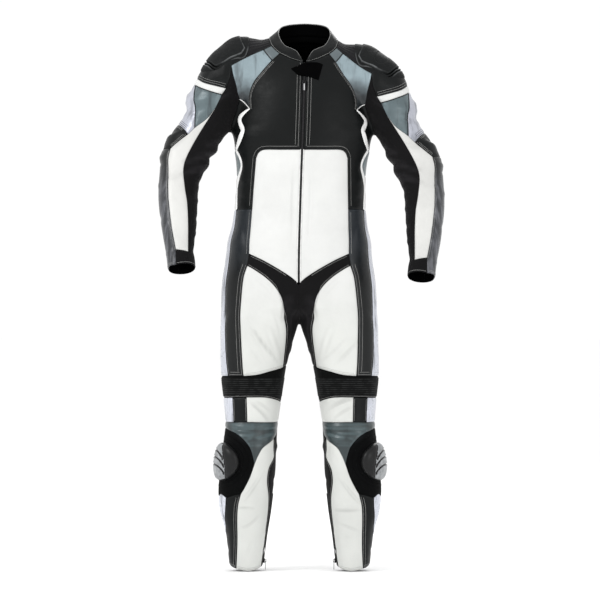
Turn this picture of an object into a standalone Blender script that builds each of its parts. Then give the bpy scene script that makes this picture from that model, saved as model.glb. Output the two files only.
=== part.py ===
"""Leather motorcycle race suit, hollow and open as it hangs on a wearer.

The worn surface is one smooth field made of five tubes: trunk, shoulder, arm and two legs. Seams are short
tables of points on that surface, panels are the fields between seams, and each panel becomes a leather wall.
Tables are in millimetres; the objects are in metres. +Z is up, the front faces -Y, and the origin is at the
middle of the neck on the shoulder line. One side is worked out with x outward, then mirrored, and posed().
"""

import math

import bmesh
import bpy
import numpy as np
from mathutils import Matrix, Vector, geometry

MM = 0.001
WALL = 2.0  # leather and its lining
SEAM_GAP = 0.3  # between neighbouring panels
SEAM_STEP = 27.0  # along a seam, between its points
ZIP_HALF = 4.3  # middle of the front zip to the panels' edges
BLEND = 34.0  # how softly the tubes run into each other
SQUARE = 2.3  # the tubes' sections, between an ellipse, 2, and a box

# ---- the worn form ---------------------------------------------------------------------------------

# height, half width, front depth, back depth
TRUNK = [
    (80, 66, 50, 62),
    (45, 78, 52, 68),
    (27, 92, 54, 72),
    (12, 104, 58, 78),
    (0, 114, 63, 84),
    (-19, 132, 70, 92),
    (-36, 146, 78, 98),
    (-60, 160, 92, 104),
    (-110, 167, 112, 112),
    (-165, 171, 122, 114),
    (-200, 181, 124, 112),
    (-225, 186, 125, 110),
    (-256, 182, 124, 107),
    (-310, 176, 121, 100),
    (-380, 174, 118, 94),
    (-432, 177, 117, 94),
    (-500, 185, 118, 104),
    (-567, 188, 116, 120),
    (-648, 190, 108, 130),
    (-690, 186, 98, 128),
]
# height, middle outward, middle back, half width, front depth, back depth
ARM = [
    (12, 166, 0, 34, 34, 36),
    (-10, 177, 0, 56, 58, 60),
    (-30, 186, 0, 65, 68, 71),
    (-51, 196, 0, 70, 74, 77),
    (-81, 211, 0, 73, 78, 80),
    (-108, 223, 0, 73, 78, 79),
    (-135, 235, -2, 75, 76, 77),
    (-162, 240, -5, 70, 72, 75),
    (-189, 253, -8, 70, 69, 73),
    (-216, 269, -12, 71, 67, 72),
    (-243, 286, -17, 70, 65, 73),
    (-270, 300, -22, 69, 63, 73),
    (-297, 313, -28, 65, 61, 70),
    (-324, 319, -35, 61, 59, 66),
    (-351, 328, -45, 54, 57, 60),
    (-405, 331, -66, 52, 54, 56),
    (-472, 328, -93, 47, 50, 50),
    (-513, 327, -109, 41, 46, 45),
    (-553, 323, -124, 37, 42, 41),
    (-589, 319, -138, 37, 41, 41),
    (-660, 313, -164, 37, 41, 41),
]
LEG = [
    (-540, 97, 2, 88, 92, 104),
    (-648, 102, 0, 99, 100, 112),
    (-734, 107, -5, 104, 99, 105),
    (-810, 119, -12, 93, 94, 97),
    (-875, 126, -18, 86, 90, 88),
    (-945, 128, -26, 77, 84, 79),
    (-999, 130, -32, 71, 80, 73),
    (-1080, 136, -36, 71, 80, 70),
    (-1134, 140, -32, 73, 74, 74),
    (-1188, 146, -24, 73, 66, 80),
    (-1247, 147, -14, 67, 61, 79),
    (-1296, 144, -6, 56, 57, 71),
    (-1350, 144, 2, 49, 54, 61),
    (-1399, 145, 8, 44, 52, 55),
    (-1450, 146, 14, 41, 50, 52),
]
# outward, middle back, middle height, half depth, half height: a bar across the shoulders
SHOULDER = [
    (0, 6, -50, 84, 62),
    (90, 5, -48, 82, 70),
    (147, 3, -46, 80, 72),
    (182, 1, -52, 78, 72),
    (202, 0, -62, 74, 66),
]
CAPS = {"trunk": (20, 30), "arm": (16, 20), "leg": (60, 20)}  # rounding above and below each tube

# height, sideways shift of trunk and legs: the suit leans a little as it hangs
LEAN = [(80, 7.5), (-60, 6.5), (-400, -4.0), (-570, -8.5), (-740, -7.5), (-810, -6.5), (-1450, -6.5)]
ARM_LEAN = -1.5  # the arms' own shift
LEFT_ARM_DROP = 22.0  # the left arm hangs lower than the right
# height, outward, where the arm's own pose starts and where it is whole
ARM_SPAN = [(-60, 45, 175), (-220, 150, 260), (-450, 225, 285), (-1450, 225, 285)]


def eased(rows, step=4.0):
    """The table at close, even steps along smooth curves through its rows, first column rising."""
    rows = np.array(sorted(rows), float)
    at = rows[:, 0]
    slope = np.gradient(rows, at, axis=0)
    out = []
    for i in range(len(rows) - 1):
        span = at[i + 1] - at[i]
        t = np.linspace(0, 1, max(2, int(span / step)), endpoint=False)[:, None]
        out.append(
            (2 * t**3 - 3 * t**2 + 1) * rows[i]
            + (t**3 - 2 * t**2 + t) * span * slope[i]
            + (3 * t**2 - 2 * t**3) * rows[i + 1]
            + (t**3 - t**2) * span * slope[i + 1]
        )
    return np.vstack(out + [rows[-1:]])


def read(table, at):
    return [np.interp(at, table[:, 0], table[:, i]) for i in range(1, table.shape[1])]


TUBES = {
    "trunk": eased([(z, 0, 0, a, f, b) for z, a, f, b in TRUNK]),
    "arm": eased(ARM),
    "leg": eased(LEG),
}
BAR = eased(SHOULDER)
LEAN_AT = eased(LEAN)
ARM_SPAN_AT = np.array(sorted(ARM_SPAN), float)


def tube(name, x, y, z):
    """Millimetres outside the tube, less than nought inside it."""
    table = TUBES[name]
    out, back, wide, front, rear = read(table, z)
    above, below = CAPS[name]
    over = np.maximum(z - table[-1, 0], 0) / above + np.maximum(table[0, 0] - z, 0) / below
    past = np.maximum(z - table[-1, 0], 0) + np.maximum(table[0, 0] - z, 0)
    across, along = x - out, y - back
    deep = np.where(along < 0, front, rear)
    share = np.abs(across / wide) ** SQUARE + np.abs(along / deep) ** SQUARE + over**SQUARE
    share = np.maximum(share, 1e-9) ** (1 / SQUARE)
    return (share - 1) * np.sqrt(across**2 + along**2 + past**2) / share


def bar(x, y, z):
    back, height, deep, tall = read(BAR, x)
    past = np.maximum(x - SHOULDER[-1][0], 0)
    share = np.sqrt(((y - back) / deep) ** 2 + ((z - height) / tall) ** 2 + (past / 24) ** 2)
    share = np.maximum(share, 1e-9)
    return (share - 1) * np.sqrt((y - back) ** 2 + (z - height) ** 2 + past**2) / share


def join(a, b, soft=BLEND):
    near = np.maximum(soft - np.abs(a - b), 0) / soft
    return np.minimum(a, b) - near**2 * soft / 4


def field(p):
    x, y, z = np.abs(p[:, 0]), p[:, 1], p[:, 2]
    body = join(tube("trunk", x, y, z), bar(x, y, z))
    legs = join(tube("leg", x, y, z), tube("leg", -x, y, z), 12.0)
    return join(join(body, tube("arm", x, y, z)), legs)


def slope_of(p):
    """The field's gradient."""
    e = 0.5
    steps = np.eye(3) * e
    return np.stack([(field(p + s) - field(p - s)) / (2 * e) for s in steps], axis=1)


def normals(p):
    g = slope_of(p)
    return g / np.linalg.norm(g, axis=1)[:, None]


def settle(p, times=5):
    """Moves points along the field's gradient onto the worn surface."""
    p = p.copy()
    for _ in range(times):
        g = slope_of(p)
        p -= np.clip(field(p) / (g**2).sum(1), -25, 25)[:, None] * g
    return p


def first_wall(start, way, leaving=True, reach=480.0, step=5.0):
    """Where rays first leave the worn form, or first enter it."""
    sign = 1.0 if leaving else -1.0
    low = np.zeros(len(start))
    high = np.full(len(start), np.nan)
    t = 0.0
    while t < reach and np.isnan(high).any():
        t += step
        crossed = np.isnan(high) & (sign * field(start + way * t) > 0)
        high[crossed] = t
        low[np.isnan(high)] = t
    if np.isnan(high).any():
        bad = start[np.isnan(high)][0]
        raise ValueError(f"no wall seen from {bad}, along {way[np.isnan(high)][0]}")
    for _ in range(14):
        mid = (low + high) / 2
        past = sign * field(start + way * mid[:, None]) > 0
        high = np.where(past, mid, high)
        low = np.where(past, low, mid)
    return start + way * high[:, None]


# ---- charts: flat maps of the surface --------------------------------------------------------------

# name, middle, way it looks: rays fan out of the middle
FANS = {
    "shoulder_fan": ((150, 5, -75), (0.62, 0.0, 0.78)),
    "back_fan": ((0, -5, -125), (0.0, 0.8, 0.6)),
}
ROUND = {"trunk": 165.0, "arm": 62.0, "leg": 88.0}  # radius that turns an angle into a length


class Chart:
    """A flat map: where a surface point lies on it, and the surface point under a place on it."""

    def __init__(self, kind, middle=0.0):
        self.kind = kind
        self.middle = math.radians(middle)
        if kind in FANS:
            self.centre, look = (np.array(v, float) for v in FANS[kind])
            self.look = look / np.linalg.norm(look)
            across = np.cross((0, 0, 1), self.look)
            self.across = across / np.linalg.norm(across)
            self.up = np.cross(self.look, self.across)

    def flat(self, p):
        if self.kind == "front":
            return p[:, [0, 2]]
        if self.kind in FANS:
            way = p - self.centre
            way /= np.linalg.norm(way, axis=1)[:, None]
            over = 200.0 / (1 + way @ self.look)
            return np.stack([way @ self.across * over, way @ self.up * over], axis=1)
        out, back = read(TUBES[self.kind], p[:, 2])[:2]
        turn = np.arctan2(p[:, 0] - out, back - p[:, 1]) - self.middle
        turn = (turn + math.pi) % (2 * math.pi) - math.pi
        return np.stack([turn * ROUND[self.kind], p[:, 2]], axis=1)

    def surface(self, uv):
        if self.kind == "front":
            start = np.stack([uv[:, 0], np.full(len(uv), -300.0), uv[:, 1]], axis=1)
            return first_wall(start, np.tile((0.0, 1.0, 0.0), (len(uv), 1)), leaving=False)
        if self.kind in FANS:
            w = uv / 200.0
            s = (w**2).sum(1)[:, None]
            way = (2 * w[:, :1] * self.across + 2 * w[:, 1:] * self.up + (1 - s) * self.look) / (1 + s)
            return first_wall(np.tile(self.centre, (len(uv), 1)), way)
        return from_axis(self.kind, uv[:, 0] / ROUND[self.kind] + self.middle, uv[:, 1])


def from_axis(name, turn, height):
    out, back = read(TUBES[name], height)[:2]
    way = np.stack([np.sin(turn), -np.cos(turn), np.zeros(len(turn))], axis=1)
    return first_wall(np.stack([out, back, height], axis=1), way)


# ---- corners and seams -----------------------------------------------------------------------------

# A place is a view and two numbers. F, front: outward, height. B, back: outward, height. T, top: outward,
# back. U and N, from below the crotch and the armpit: outward, back. trunk, arm and leg: degrees round from
# the front, outward first; height.
CORNERS = {
    "neck_front": ("F", ZIP_HALF, -36),
    "neck_wedge_low": ("F", 66, -14),
    "neck_wedge_high": ("F", 88, 9),
    "neck_back": ("T", 0, 70),
    "shoulder_front": ("F", 150, -25),
    "shoulder_back": ("B", 152, -28),
    "wedge_out": ("F", 188, -46),
    "wedge_low": ("F", 168, -136),
    "wedge_tip": ("F", 143, -163),
    "belly_middle": ("F", ZIP_HALF, -273),
    "belly_corner": ("F", 123.5, -296),
    "waist_belly": ("F", 129.5, -432),
    "waist_flank": ("F", 171, -432),
    "waist_silver": ("leg", 108, -432),
    "lumbar_top": ("B", 104, -430),
    "back_waist": ("B", 0, -424),
    "lumbar_low": ("B", 94, -520),
    "lumbar_middle": ("B", 0, -530),
    "belly_low": ("F", 134, -551),
    "thigh_top": ("F", 139, -583),
    "zip_bottom": ("F", ZIP_HALF, -628),
    "vee": ("F", 0, -636),
    "crotch": ("U", 0, 4),
    "pit": ("N", 198, -10),
    "cap_back": ("B", 176, -74),
    "band_top_in": ("F", 202, -108),
    "band_low_in": ("F", 213, -125),
    "band_top_back": ("arm", 195, -108),
    "band_low_back": ("arm", 195, -124),
    "band_low_side": ("arm", 60, -98),
    "grey_low": ("F", 286, -213),
    "grey_point": ("F", 230, -160),
    "elbow_back": ("arm", 195, -212),
    "patch_out": ("F", 334, -540),
    "patch_in": ("F", 300, -546),
    "cuff_patch": ("F", 334, -581),
    "cuff_back": ("arm", 165, -607),
    "side_low": ("F", 192, -878),
    "thigh_low_out": ("F", 152, -878),
    "thigh_low_in": ("F", 44, -855),
    "inseam_band": ("leg", -100, -850),
    "band_end_top": ("leg", 110, -880),
    "band_end_low": ("leg", 110, -942),
    "inseam_row": ("leg", -100, -950),
    "row_end_low": ("leg", 110, -1003),
    "row_in_low": ("leg", -98, -1002),
    "yoke_in": ("F", 70, -1046),
    "yoke_point": ("F", 122, -1115),
    "base_end_top": ("leg", 112, -1020),
    "base_end_low": ("leg", 112, -1192),
    "base_low": ("F", 158, -1195),
    "shin_hem_out": ("F", 171, -1398),
    "shin_hem_in": ("F", 104, -1394),
    "hem_side": ("leg", 112, -1386),
}

# name: first corner, places between, last corner
SEAMS = {
    "neck_chest": ("neck_front", [("F", 22, -33), ("F", 41, -27)], "neck_wedge_low"),
    "neck_wedge": ("neck_wedge_low", [("F", 78, -3)], "neck_wedge_high"),
    "neck_yoke": ("neck_wedge_high", [("T", 93, 2), ("T", 84, 38), ("T", 56, 60), ("T", 28, 68)], "neck_back"),
    "wedge_top_in": ("neck_wedge_high", [("F", 118, -7)], "shoulder_front"),
    "wedge_top_out": ("shoulder_front", [("F", 168, -35)], "wedge_out"),
    "wedge_side": ("wedge_out", [("F", 183, -70), ("F", 176, -96), ("F", 172, -120)], "wedge_low"),
    "wedge_foot": ("wedge_low", [("F", 155, -147)], "wedge_tip"),
    "wedge_chest": (
        "neck_wedge_low",
        [("F", 82, -30), ("F", 98, -49), ("F", 114, -69), ("F", 130, -90), ("F", 140, -113), ("F", 144, -138)],
        "wedge_tip",
    ),
    "zip_chest": ("neck_front", [("F", ZIP_HALF, -110), ("F", ZIP_HALF, -190)], "belly_middle"),
    "zip_belly": ("belly_middle", [("F", ZIP_HALF, -390), ("F", ZIP_HALF, -510)], "zip_bottom"),
    "belly_top": ("belly_middle", [("F", 60, -273), ("F", 102, -273), ("F", 117, -281)], "belly_corner"),
    "belly_side": ("belly_corner", [("F", 126, -350), ("F", 128, -392)], "waist_belly"),
    "belly_hip": ("waist_belly", [("F", 132, -490)], "belly_low"),
    "flank": (
        "wedge_tip",
        [
            ("F", 157, -173),
            ("F", 168, -186),
            ("F", 168, -204),
            ("F", 161, -222),
            ("F", 168, -245),
            ("F", 174, -272),
            ("F", 162, -306),
            ("F", 166, -338),
            ("F", 171, -378),
        ],
        "waist_flank",
    ),
    "waist_side": ("waist_belly", [("F", 150, -432)], "waist_flank"),
    "waist_hip": ("waist_flank", [("leg", 92, -432)], "waist_silver"),
    "waist_back": ("waist_silver", [("B", 135, -432)], "lumbar_top"),
    "waist_lumbar": ("lumbar_top", [("B", 52, -426)], "back_waist"),
    "lumbar_side": ("lumbar_top", [("B", 99, -475)], "lumbar_low"),
    "lumbar_foot": ("lumbar_low", [("B", 48, -528)], "lumbar_middle"),
    "lumbar_spine": ("back_waist", [("B", 0, -475)], "lumbar_middle"),
    "spine": ("neck_back", [("B", 0, -40), ("B", 0, -180), ("B", 0, -320)], "back_waist"),
    "seat_middle": ("lumbar_middle", [("B", 0, -600), ("B", 0, -665), ("B", 0, -705)], "crotch"),
    "shoulder_seam": ("shoulder_front", [("T", 150, -40), ("T", 150, 0), ("T", 151, 42)], "shoulder_back"),
    "hole_front": ("wedge_low", [("F", 177, -165), ("F", 189, -200)], "pit"),
    "hole_back_low": ("pit", [("B", 193, -200), ("B", 184, -155), ("B", 178, -112)], "cap_back"),
    "hole_back_high": ("cap_back", [("B", 168, -48)], "shoulder_back"),
    "cap_front": ("wedge_out", [("F", 191, -78)], "band_top_in"),
    "cap_rear": ("band_top_back", [("arm", 205, -94)], "cap_back"),
    "band_top": (
        "band_top_in",
        [("arm", 30, -94), ("arm", 60, -82), ("arm", 90, -77), ("arm", 125, -81), ("arm", 160, -94)],
        "band_top_back",
    ),
    "band_front": ("band_top_in", [], "band_low_in"),
    "band_rear": ("band_top_back", [], "band_low_back"),
    "band_low_grey": ("band_low_in", [("arm", 10, -117), ("arm", 35, -107)], "band_low_side"),
    "band_low_silver": (
        "band_low_side",
        [("arm", 90, -93), ("arm", 125, -97), ("arm", 160, -110)],
        "band_low_back",
    ),
    "grey_in": ("band_low_in", [], "grey_point"),
    "grey_foot": ("grey_point", [("F", 252, -188)], "grey_low"),
    "grey_silver": ("band_low_side", [("F", 286, -150)], "grey_low"),
    "elbow_top": (
        "grey_low",
        [("arm", 50, -209), ("arm", 90, -203), ("arm", 125, -202), ("arm", 160, -206)],
        "elbow_back",
    ),
    "silver_rear": ("band_low_back", [("arm", 196, -165)], "elbow_back"),
    "white_out": (
        "grey_low",
        [
            ("F", 305, -232),
            ("F", 328, -251),
            ("F", 350, -270),
            ("F", 357, -300),
            ("F", 357, -350),
            ("F", 355, -405),
            ("F", 347, -472),
        ],
        "patch_out",
    ),
    "white_in": (
        "grey_point",
        [
            ("F", 251, -193),
            ("F", 273, -228),
            ("F", 293, -263),
            ("F", 309, -296),
            ("F", 316, -328),
            ("F", 311, -375),
            ("F", 304, -420),
            ("F", 301, -480),
        ],
        "patch_in",
    ),
    "patch_top": ("patch_out", [], "patch_in"),
    "patch_side": ("patch_out", [], "cuff_patch"),
    "cuff_outer": ("cuff_patch", [("arm", 60, -586), ("arm", 95, -595), ("arm", 130, -603)], "cuff_back"),
    "cuff_inner": (
        "cuff_patch",
        [("arm", -15, -577), ("arm", -55, -581), ("arm", -95, -589), ("arm", -135, -599), ("arm", 190, -606)],
        "cuff_back",
    ),
    "forearm_rear": (
        "elbow_back",
        [("arm", 192, -260), ("arm", 186, -330), ("arm", 178, -410), ("arm", 170, -500)],
        "cuff_back",
    ),
    "hip_top": ("belly_low", [("F", 94, -570), ("F", 55, -592), ("F", 22, -613)], "zip_bottom"),
    "hip_tip": ("zip_bottom", [], "vee"),
    "hip_end": ("belly_low", [], "thigh_top"),
    "thigh_in": (
        "thigh_top",
        [
            ("F", 119, -594),
            ("F", 90, -614),
            ("F", 65, -638),
            ("F", 47, -667),
            ("F", 39, -702),
            ("F", 35, -750),
            ("F", 37, -800),
        ],
        "thigh_low_in",
    ),
    "thigh_out": (
        "thigh_top",
        [("F", 150, -622), ("F", 158, -702), ("F", 158, -756), ("F", 155, -837)],
        "thigh_low_out",
    ),
    "crotch_front": ("vee", [("F", 0, -670), ("F", 0, -700), ("F", 0, -722)], "crotch"),
    "inseam": ("crotch", [("leg", -98, -800)], "inseam_band"),
    "side_silver": (
        "waist_flank",
        [("F", 177, -490), ("F", 187, -570), ("F", 195, -648), ("F", 198, -729), ("F", 198, -810)],
        "side_low",
    ),
    "thigh_rear": ("waist_silver", [("leg", 108, -560), ("leg", 110, -700), ("leg", 110, -800)], "band_end_top"),
    "knee_back": (
        "inseam_band",
        [("leg", -135, -868), ("leg", 180, -884), ("leg", 140, -882)],
        "band_end_top",
    ),
    "knee_top_in": ("inseam_band", [("leg", -75, -851)], "thigh_low_in"),
    "knee_top": ("thigh_low_in", [("F", 80, -866), ("F", 116, -875)], "thigh_low_out"),
    "knee_top_side": ("thigh_low_out", [], "side_low"),
    "knee_top_silver": ("side_low", [("leg", 88, -880)], "band_end_top"),
    "knee_in": ("inseam_band", [("leg", -100, -900)], "inseam_row"),
    "knee_out": ("band_end_top", [("leg", 110, -911)], "band_end_low"),
    "knee_low": (
        "inseam_row",
        [("leg", -75, -948), ("F", 88, -936), ("F", 133, -935), ("F", 180, -936), ("leg", 85, -938)],
        "band_end_low",
    ),
    "row_in": ("inseam_row", [], "row_in_low"),
    "row_out": ("band_end_low", [], "row_end_low"),
    "row_low": (
        "row_in_low",
        [("leg", -70, -1002), ("F", 90, -1002), ("F", 130, -1001), ("F", 175, -1002), ("leg", 80, -1002)],
        "row_end_low",
    ),
    "yoke_inner": ("row_in_low", [("leg", -84, -1028)], "yoke_in"),
    "yoke_shin": ("yoke_in", [("F", 98, -1068), ("F", 112, -1090)], "yoke_point"),
    "yoke_end": ("row_end_low", [], "base_end_top"),
    "yoke_base": (
        "base_end_top",
        [("leg", 85, -1018), ("F", 190, -1023), ("F", 162, -1037), ("F", 137, -1064), ("F", 127, -1090)],
        "yoke_point",
    ),
    "base_shin": ("yoke_point", [("F", 134, -1150), ("F", 148, -1178)], "base_low"),
    "base_foot": ("base_low", [("F", 181, -1204), ("leg", 75, -1203)], "base_end_low"),
    "base_rear": ("base_end_top", [("leg", 112, -1105)], "base_end_low"),
    "shin_out": ("base_low", [("F", 166, -1228), ("F", 168, -1270), ("F", 168, -1336)], "shin_hem_out"),
    "shin_in": (
        "yoke_in",
        [
            ("F", 71, -1072),
            ("F", 70, -1096),
            ("F", 82, -1124),
            ("F", 87, -1160),
            ("F", 83, -1210),
            ("F", 88, -1269),
            ("F", 96, -1336),
        ],
        "shin_hem_in",
    ),
    "shin_hem": ("shin_hem_in", [("F", 137, -1404)], "shin_hem_out"),
    "side_hem": ("shin_hem_out", [("leg", 70, -1390)], "hem_side"),
    "shin_rear": ("base_end_low", [("leg", 112, -1290)], "hem_side"),
    "calf_hem": (
        "hem_side",
        [("leg", 150, -1382), ("leg", 190, -1382), ("leg", 230, -1386), ("leg", 270, -1392)],
        "shin_hem_in",
    ),
}

# ---- collar, tab, cups and pucks ---------------------------------------------------------------------

# top edge of the collar from its front end round to the middle of the back: outward, back, height
COLLAR_TOP = [
    (7, -78, -29),
    (14, -76, -20),
    (23, -71, -8),
    (37, -63, 0),
    (53, -52, 8),
    (64, -36, 22),
    (72, -5, 45),
    (66, 38, 62),
    (45, 58, 70),
    (20, 66, 73),
    (0, 68, 74),
]
COLLAR_WALL = 3.0
COLLAR_SWELL = 3.0  # the band bows outward between its seam and its top
# hook-and-loop tab over the top of the zip: half width, top, foot, thickness
TAB = (39.0, -44.0, -86.0, 2.2)
PAD_CLEAR = 2.7  # what lies on a panel, off its surface
# outline of the shoulder cup, front, outer side, back and inner side
CUP_OUTLINE = [
    ("F", 141, 8),
    ("F", 147, -16),
    ("F", 157, -28),
    ("F", 176, -30),
    ("F", 196, -38),
    ("F", 214, -50),
    ("F", 234, -60),
    ("arm", 60, -62),
    ("arm", 90, -58),
    ("arm", 120, -62),
    ("B", 234, -62),
    ("B", 214, -54),
    ("B", 196, -44),
    ("B", 176, -38),
    ("B", 157, -34),
    ("B", 147, -20),
    ("B", 141, 4),
    ("T", 143, 40),
    ("T", 143, 0),
    ("T", 143, -40),
]
CUP = (2.4, 3.6, 2.2)  # height at the rim, rise to the middle, how square the dome is
PUCK_CENTRE = (64.0, -1108.0)  # degrees round the leg, height
PUCK_SIZE = (42.0, 52.0)  # half width in degrees, half height
PUCK = (8.0, 14.0, 3.0)
ZIP_TAPE = (3.9, -40.0, -626.0, 2.4)  # half width, top, foot, thickness
ZIP_SLIDER_AT = -94.0
ANKLE_ZIP = (-94.0, -1196.0, -1384.0, 4.0)  # degrees round the leg, top, foot, half width
ANKLE_SLIDER_AT = -1379.0
# zip sliders and pulls
SLIDER = (4.5, 6.0, 2.9)  # half width, half length, thickness
BRIDGE = (1.5, 2.8, 4.0, 3.0, 4.2)  # half width, half length inside and outside, height inside and outside
PULL = (4.5, 23.2, 0.8)  # half width, length below its bar, half thickness
PULL_WINDOW = (2.5, 4.8)  # half width, foot of the window below the bar
PULL_LEAN = 7.0  # degrees toward the cloth, where a pull lies on it

# ---- relief: the armour, gathers and larger folds --------------------------------------------------

# Soft swellings of the worn surface over armour: view, two numbers, height, spread across, spread along
SWELLS = [
    ("arm", 80, -258, 5.0, 60, 45),
    ("leg", 5, -1062, 4.0, 60, 55),
    ("leg", 82, -640, 3.0, 60, 60),
    ("F", 235, -150, 3.0, 45, 40),
]
# Folds: view, then first and last place, height (less than nought for a trough), width
FOLDS = [
    ("arm", (62, -126), (110, -122), 3.5, 9),
    ("arm", (40, -176), (118, -158), -2.0, 6),
    ("arm", (48, -194), (118, -178), -2.0, 6),
    ("arm", (30, -226), (100, -246), 3.0, 10),
    ("arm", (-40, -232), (-120, -240), 5.0, 12),
    ("arm", (-35, -268), (-120, -276), 5.0, 12),
    ("arm", (-30, -306), (-120, -313), 4.5, 11),
    ("arm", (-35, -345), (-110, -350), 3.0, 12),
    ("arm", (-60, -375), (-130, -372), 2.5, 10),
    ("arm", (-40, -540), (-130, -548), -3.0, 12),
    ("leg", (-70, -1014), (60, -1012), 2.0, 5),
    ("leg", (-60, -1027), (50, -1030), -2.0, 6),
    ("leg", (-70, -1066), (-110, -1072), 3.0, 10),
    ("leg", (-30, -665), (-65, -745), -2.5, 12),
    ("leg", (-10, -740), (-45, -840), 2.5, 12),
    ("trunk", (62, -205), (86, -222), -3.0, 12),
    ("trunk", (66, -262), (92, -280), 3.0, 14),
    ("trunk", (66, -318), (92, -330), -3.0, 14),
]
# Panels of fine ribs: panel, first and last height, how many ribs, how high
RIBS = {
    "knee_band": (-883, -933, 8, 2.4),
    "lumbar": (-437, -515, 8, 2.8),
}
RIB_SEAMS = {"lumbar_spine": "lumbar"}
FINE_SEAMS = {"hole_front": 15.0, "hole_back_low": 15.0, "shoulder_seam": 20.0, "belly_top": 15.0}

# panel: chart, its middle in degrees, spacing across, spacing along, seams round it
PANELS = {
    "chest": (
        ("trunk", 40, 34, 36),
        ["zip_chest", "belly_top", "belly_side", "waist_side", "flank", "wedge_chest", "neck_chest"],
    ),
    "wedge": (
        ("front", 0, 26, 28),
        ["neck_wedge", "wedge_top_in", "wedge_top_out", "wedge_side", "wedge_foot", "wedge_chest"],
    ),
    "belly": (("trunk", 25, 34, 40), ["belly_top", "belly_side", "belly_hip", "hip_top", "zip_belly"]),
    "sleeve_cap": (
        ("shoulder_fan", 0, 26, 26),
        [
            "wedge_top_out",
            "cap_front",
            "band_top",
            "cap_rear",
            "hole_back_high",
            "shoulder_seam",
        ],
    ),
    "arm_band": (
        ("arm", 80, 24, 30),
        ["band_top", "band_rear", "band_low_silver", "band_low_grey", "band_front"],
    ),
    "upper_arm_grey": (("arm", 20, 24, 28), ["band_low_grey", "grey_silver", "grey_foot", "grey_in"]),
    "upper_arm_silver": (
        ("arm", 110, 24, 24),
        ["band_low_silver", "silver_rear", "elbow_top", "grey_silver"],
    ),
    "elbow_forearm": (
        ("arm", 100, 24, 30),
        ["elbow_top", "forearm_rear", "cuff_outer", "patch_side", "white_out"],
    ),
    "forearm_white": (("arm", 20, 24, 30), ["grey_foot", "white_out", "patch_top", "white_in"]),
    "inner_sleeve": (
        ("arm", -90, 24, 26),
        [
            "cap_front",
            "band_front",
            "grey_in",
            "white_in",
            "patch_top",
            "patch_side",
            "cuff_inner",
            "forearm_rear",
            "silver_rear",
            "band_rear",
            "cap_rear",
            "hole_back_low",
            "hole_front",
            "wedge_side",
        ],
    ),
    "groin": (
        ("leg", -60, 26, 28),
        ["hip_top", "hip_tip", "crotch_front", "inseam", "knee_top_in", "thigh_in", "hip_end"],
    ),
    "thigh_front": (("leg", 0, 32, 36), ["thigh_in", "knee_top", "thigh_out"]),
    "thigh_side": (
        ("leg", 50, 30, 38),
        ["waist_side", "belly_hip", "hip_end", "thigh_out", "knee_top_side", "side_silver"],
    ),
    "thigh_silver": (("leg", 90, 26, 38), ["waist_hip", "side_silver", "knee_top_silver", "thigh_rear"]),
    "seat": (
        ("leg", 180, 36, 38),
        [
            "waist_back",
            "lumbar_side",
            "lumbar_foot",
            "seat_middle",
            "inseam",
            "knee_back",
            "thigh_rear",
        ],
    ),
    "knee_band": (
        ("leg", 5, 24, 26),
        ["knee_top_in", "knee_top", "knee_top_side", "knee_top_silver", "knee_out", "knee_low", "knee_in"],
    ),
    "above_knee": (("leg", 5, 26, 30), ["knee_low", "row_out", "row_low", "row_in"]),
    "knee_yoke": (
        ("leg", 0, 24, 24),
        ["row_low", "yoke_end", "yoke_base", "yoke_shin", "yoke_inner"],
    ),
    "slider_base": (("leg", 70, 26, 28), ["yoke_base", "base_shin", "base_foot", "base_rear"]),
    "shin_white": (
        ("leg", 0, 26, 32),
        ["yoke_shin", "base_shin", "shin_out", "shin_hem", "shin_in"],
    ),
    "shin_side": (("leg", 75, 24, 32), ["base_foot", "shin_rear", "side_hem", "shin_out"]),
    "calf": (
        ("leg", 190, 28, 34),
        [
            "knee_back",
            "knee_out",
            "row_out",
            "yoke_end",
            "base_rear",
            "shin_rear",
            "calf_hem",
            "shin_in",
            "yoke_inner",
            "row_in",
            "knee_in",
        ],
    ),
}
# Panels that cross the middle of the back, made from a half: as above, seams of the half
WHOLE_PANELS = {
    "back": (
        ("back_fan", 0, 34, 34),
        [
            "neck_yoke",
            "wedge_top_in",
            "shoulder_seam",
            "hole_back_high",
            "hole_back_low",
            "hole_front",
            "wedge_foot",
            "flank",
            "waist_hip",
            "waist_back",
            "waist_lumbar",
            "spine",
        ],
    ),
    "lumbar": (("trunk", 155, 36, 36), ["waist_lumbar", "lumbar_side", "lumbar_foot", "lumbar_spine"]),
}


def place(spot):
    """The surface point of one place in the tables."""
    view, a, b = spot
    if view in TUBES:
        return from_axis(view, np.array([math.radians(a)]), np.array([float(b)]))[0]
    starts = {"F": (a, -300, b), "B": (a, 300, b), "T": (a, b, 200), "U": (a, b, -1000), "N": (a, b, -330)}
    ways = {"F": (0, 1, 0), "B": (0, -1, 0), "T": (0, 0, -1), "U": (0, 0, 1), "N": (0, 0, 1)}
    run = np.array(starts[view], float) + np.arange(0, 600, 4.0)[:, None] * np.array(ways[view], float)
    depth = field(run)
    if depth.min() > 0:
        return settle(run[depth.argmin()][None])[0]
    start = np.array([starts[view]], float)
    return first_wall(start, np.array([ways[view]], float), leaving=False)[0]


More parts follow.
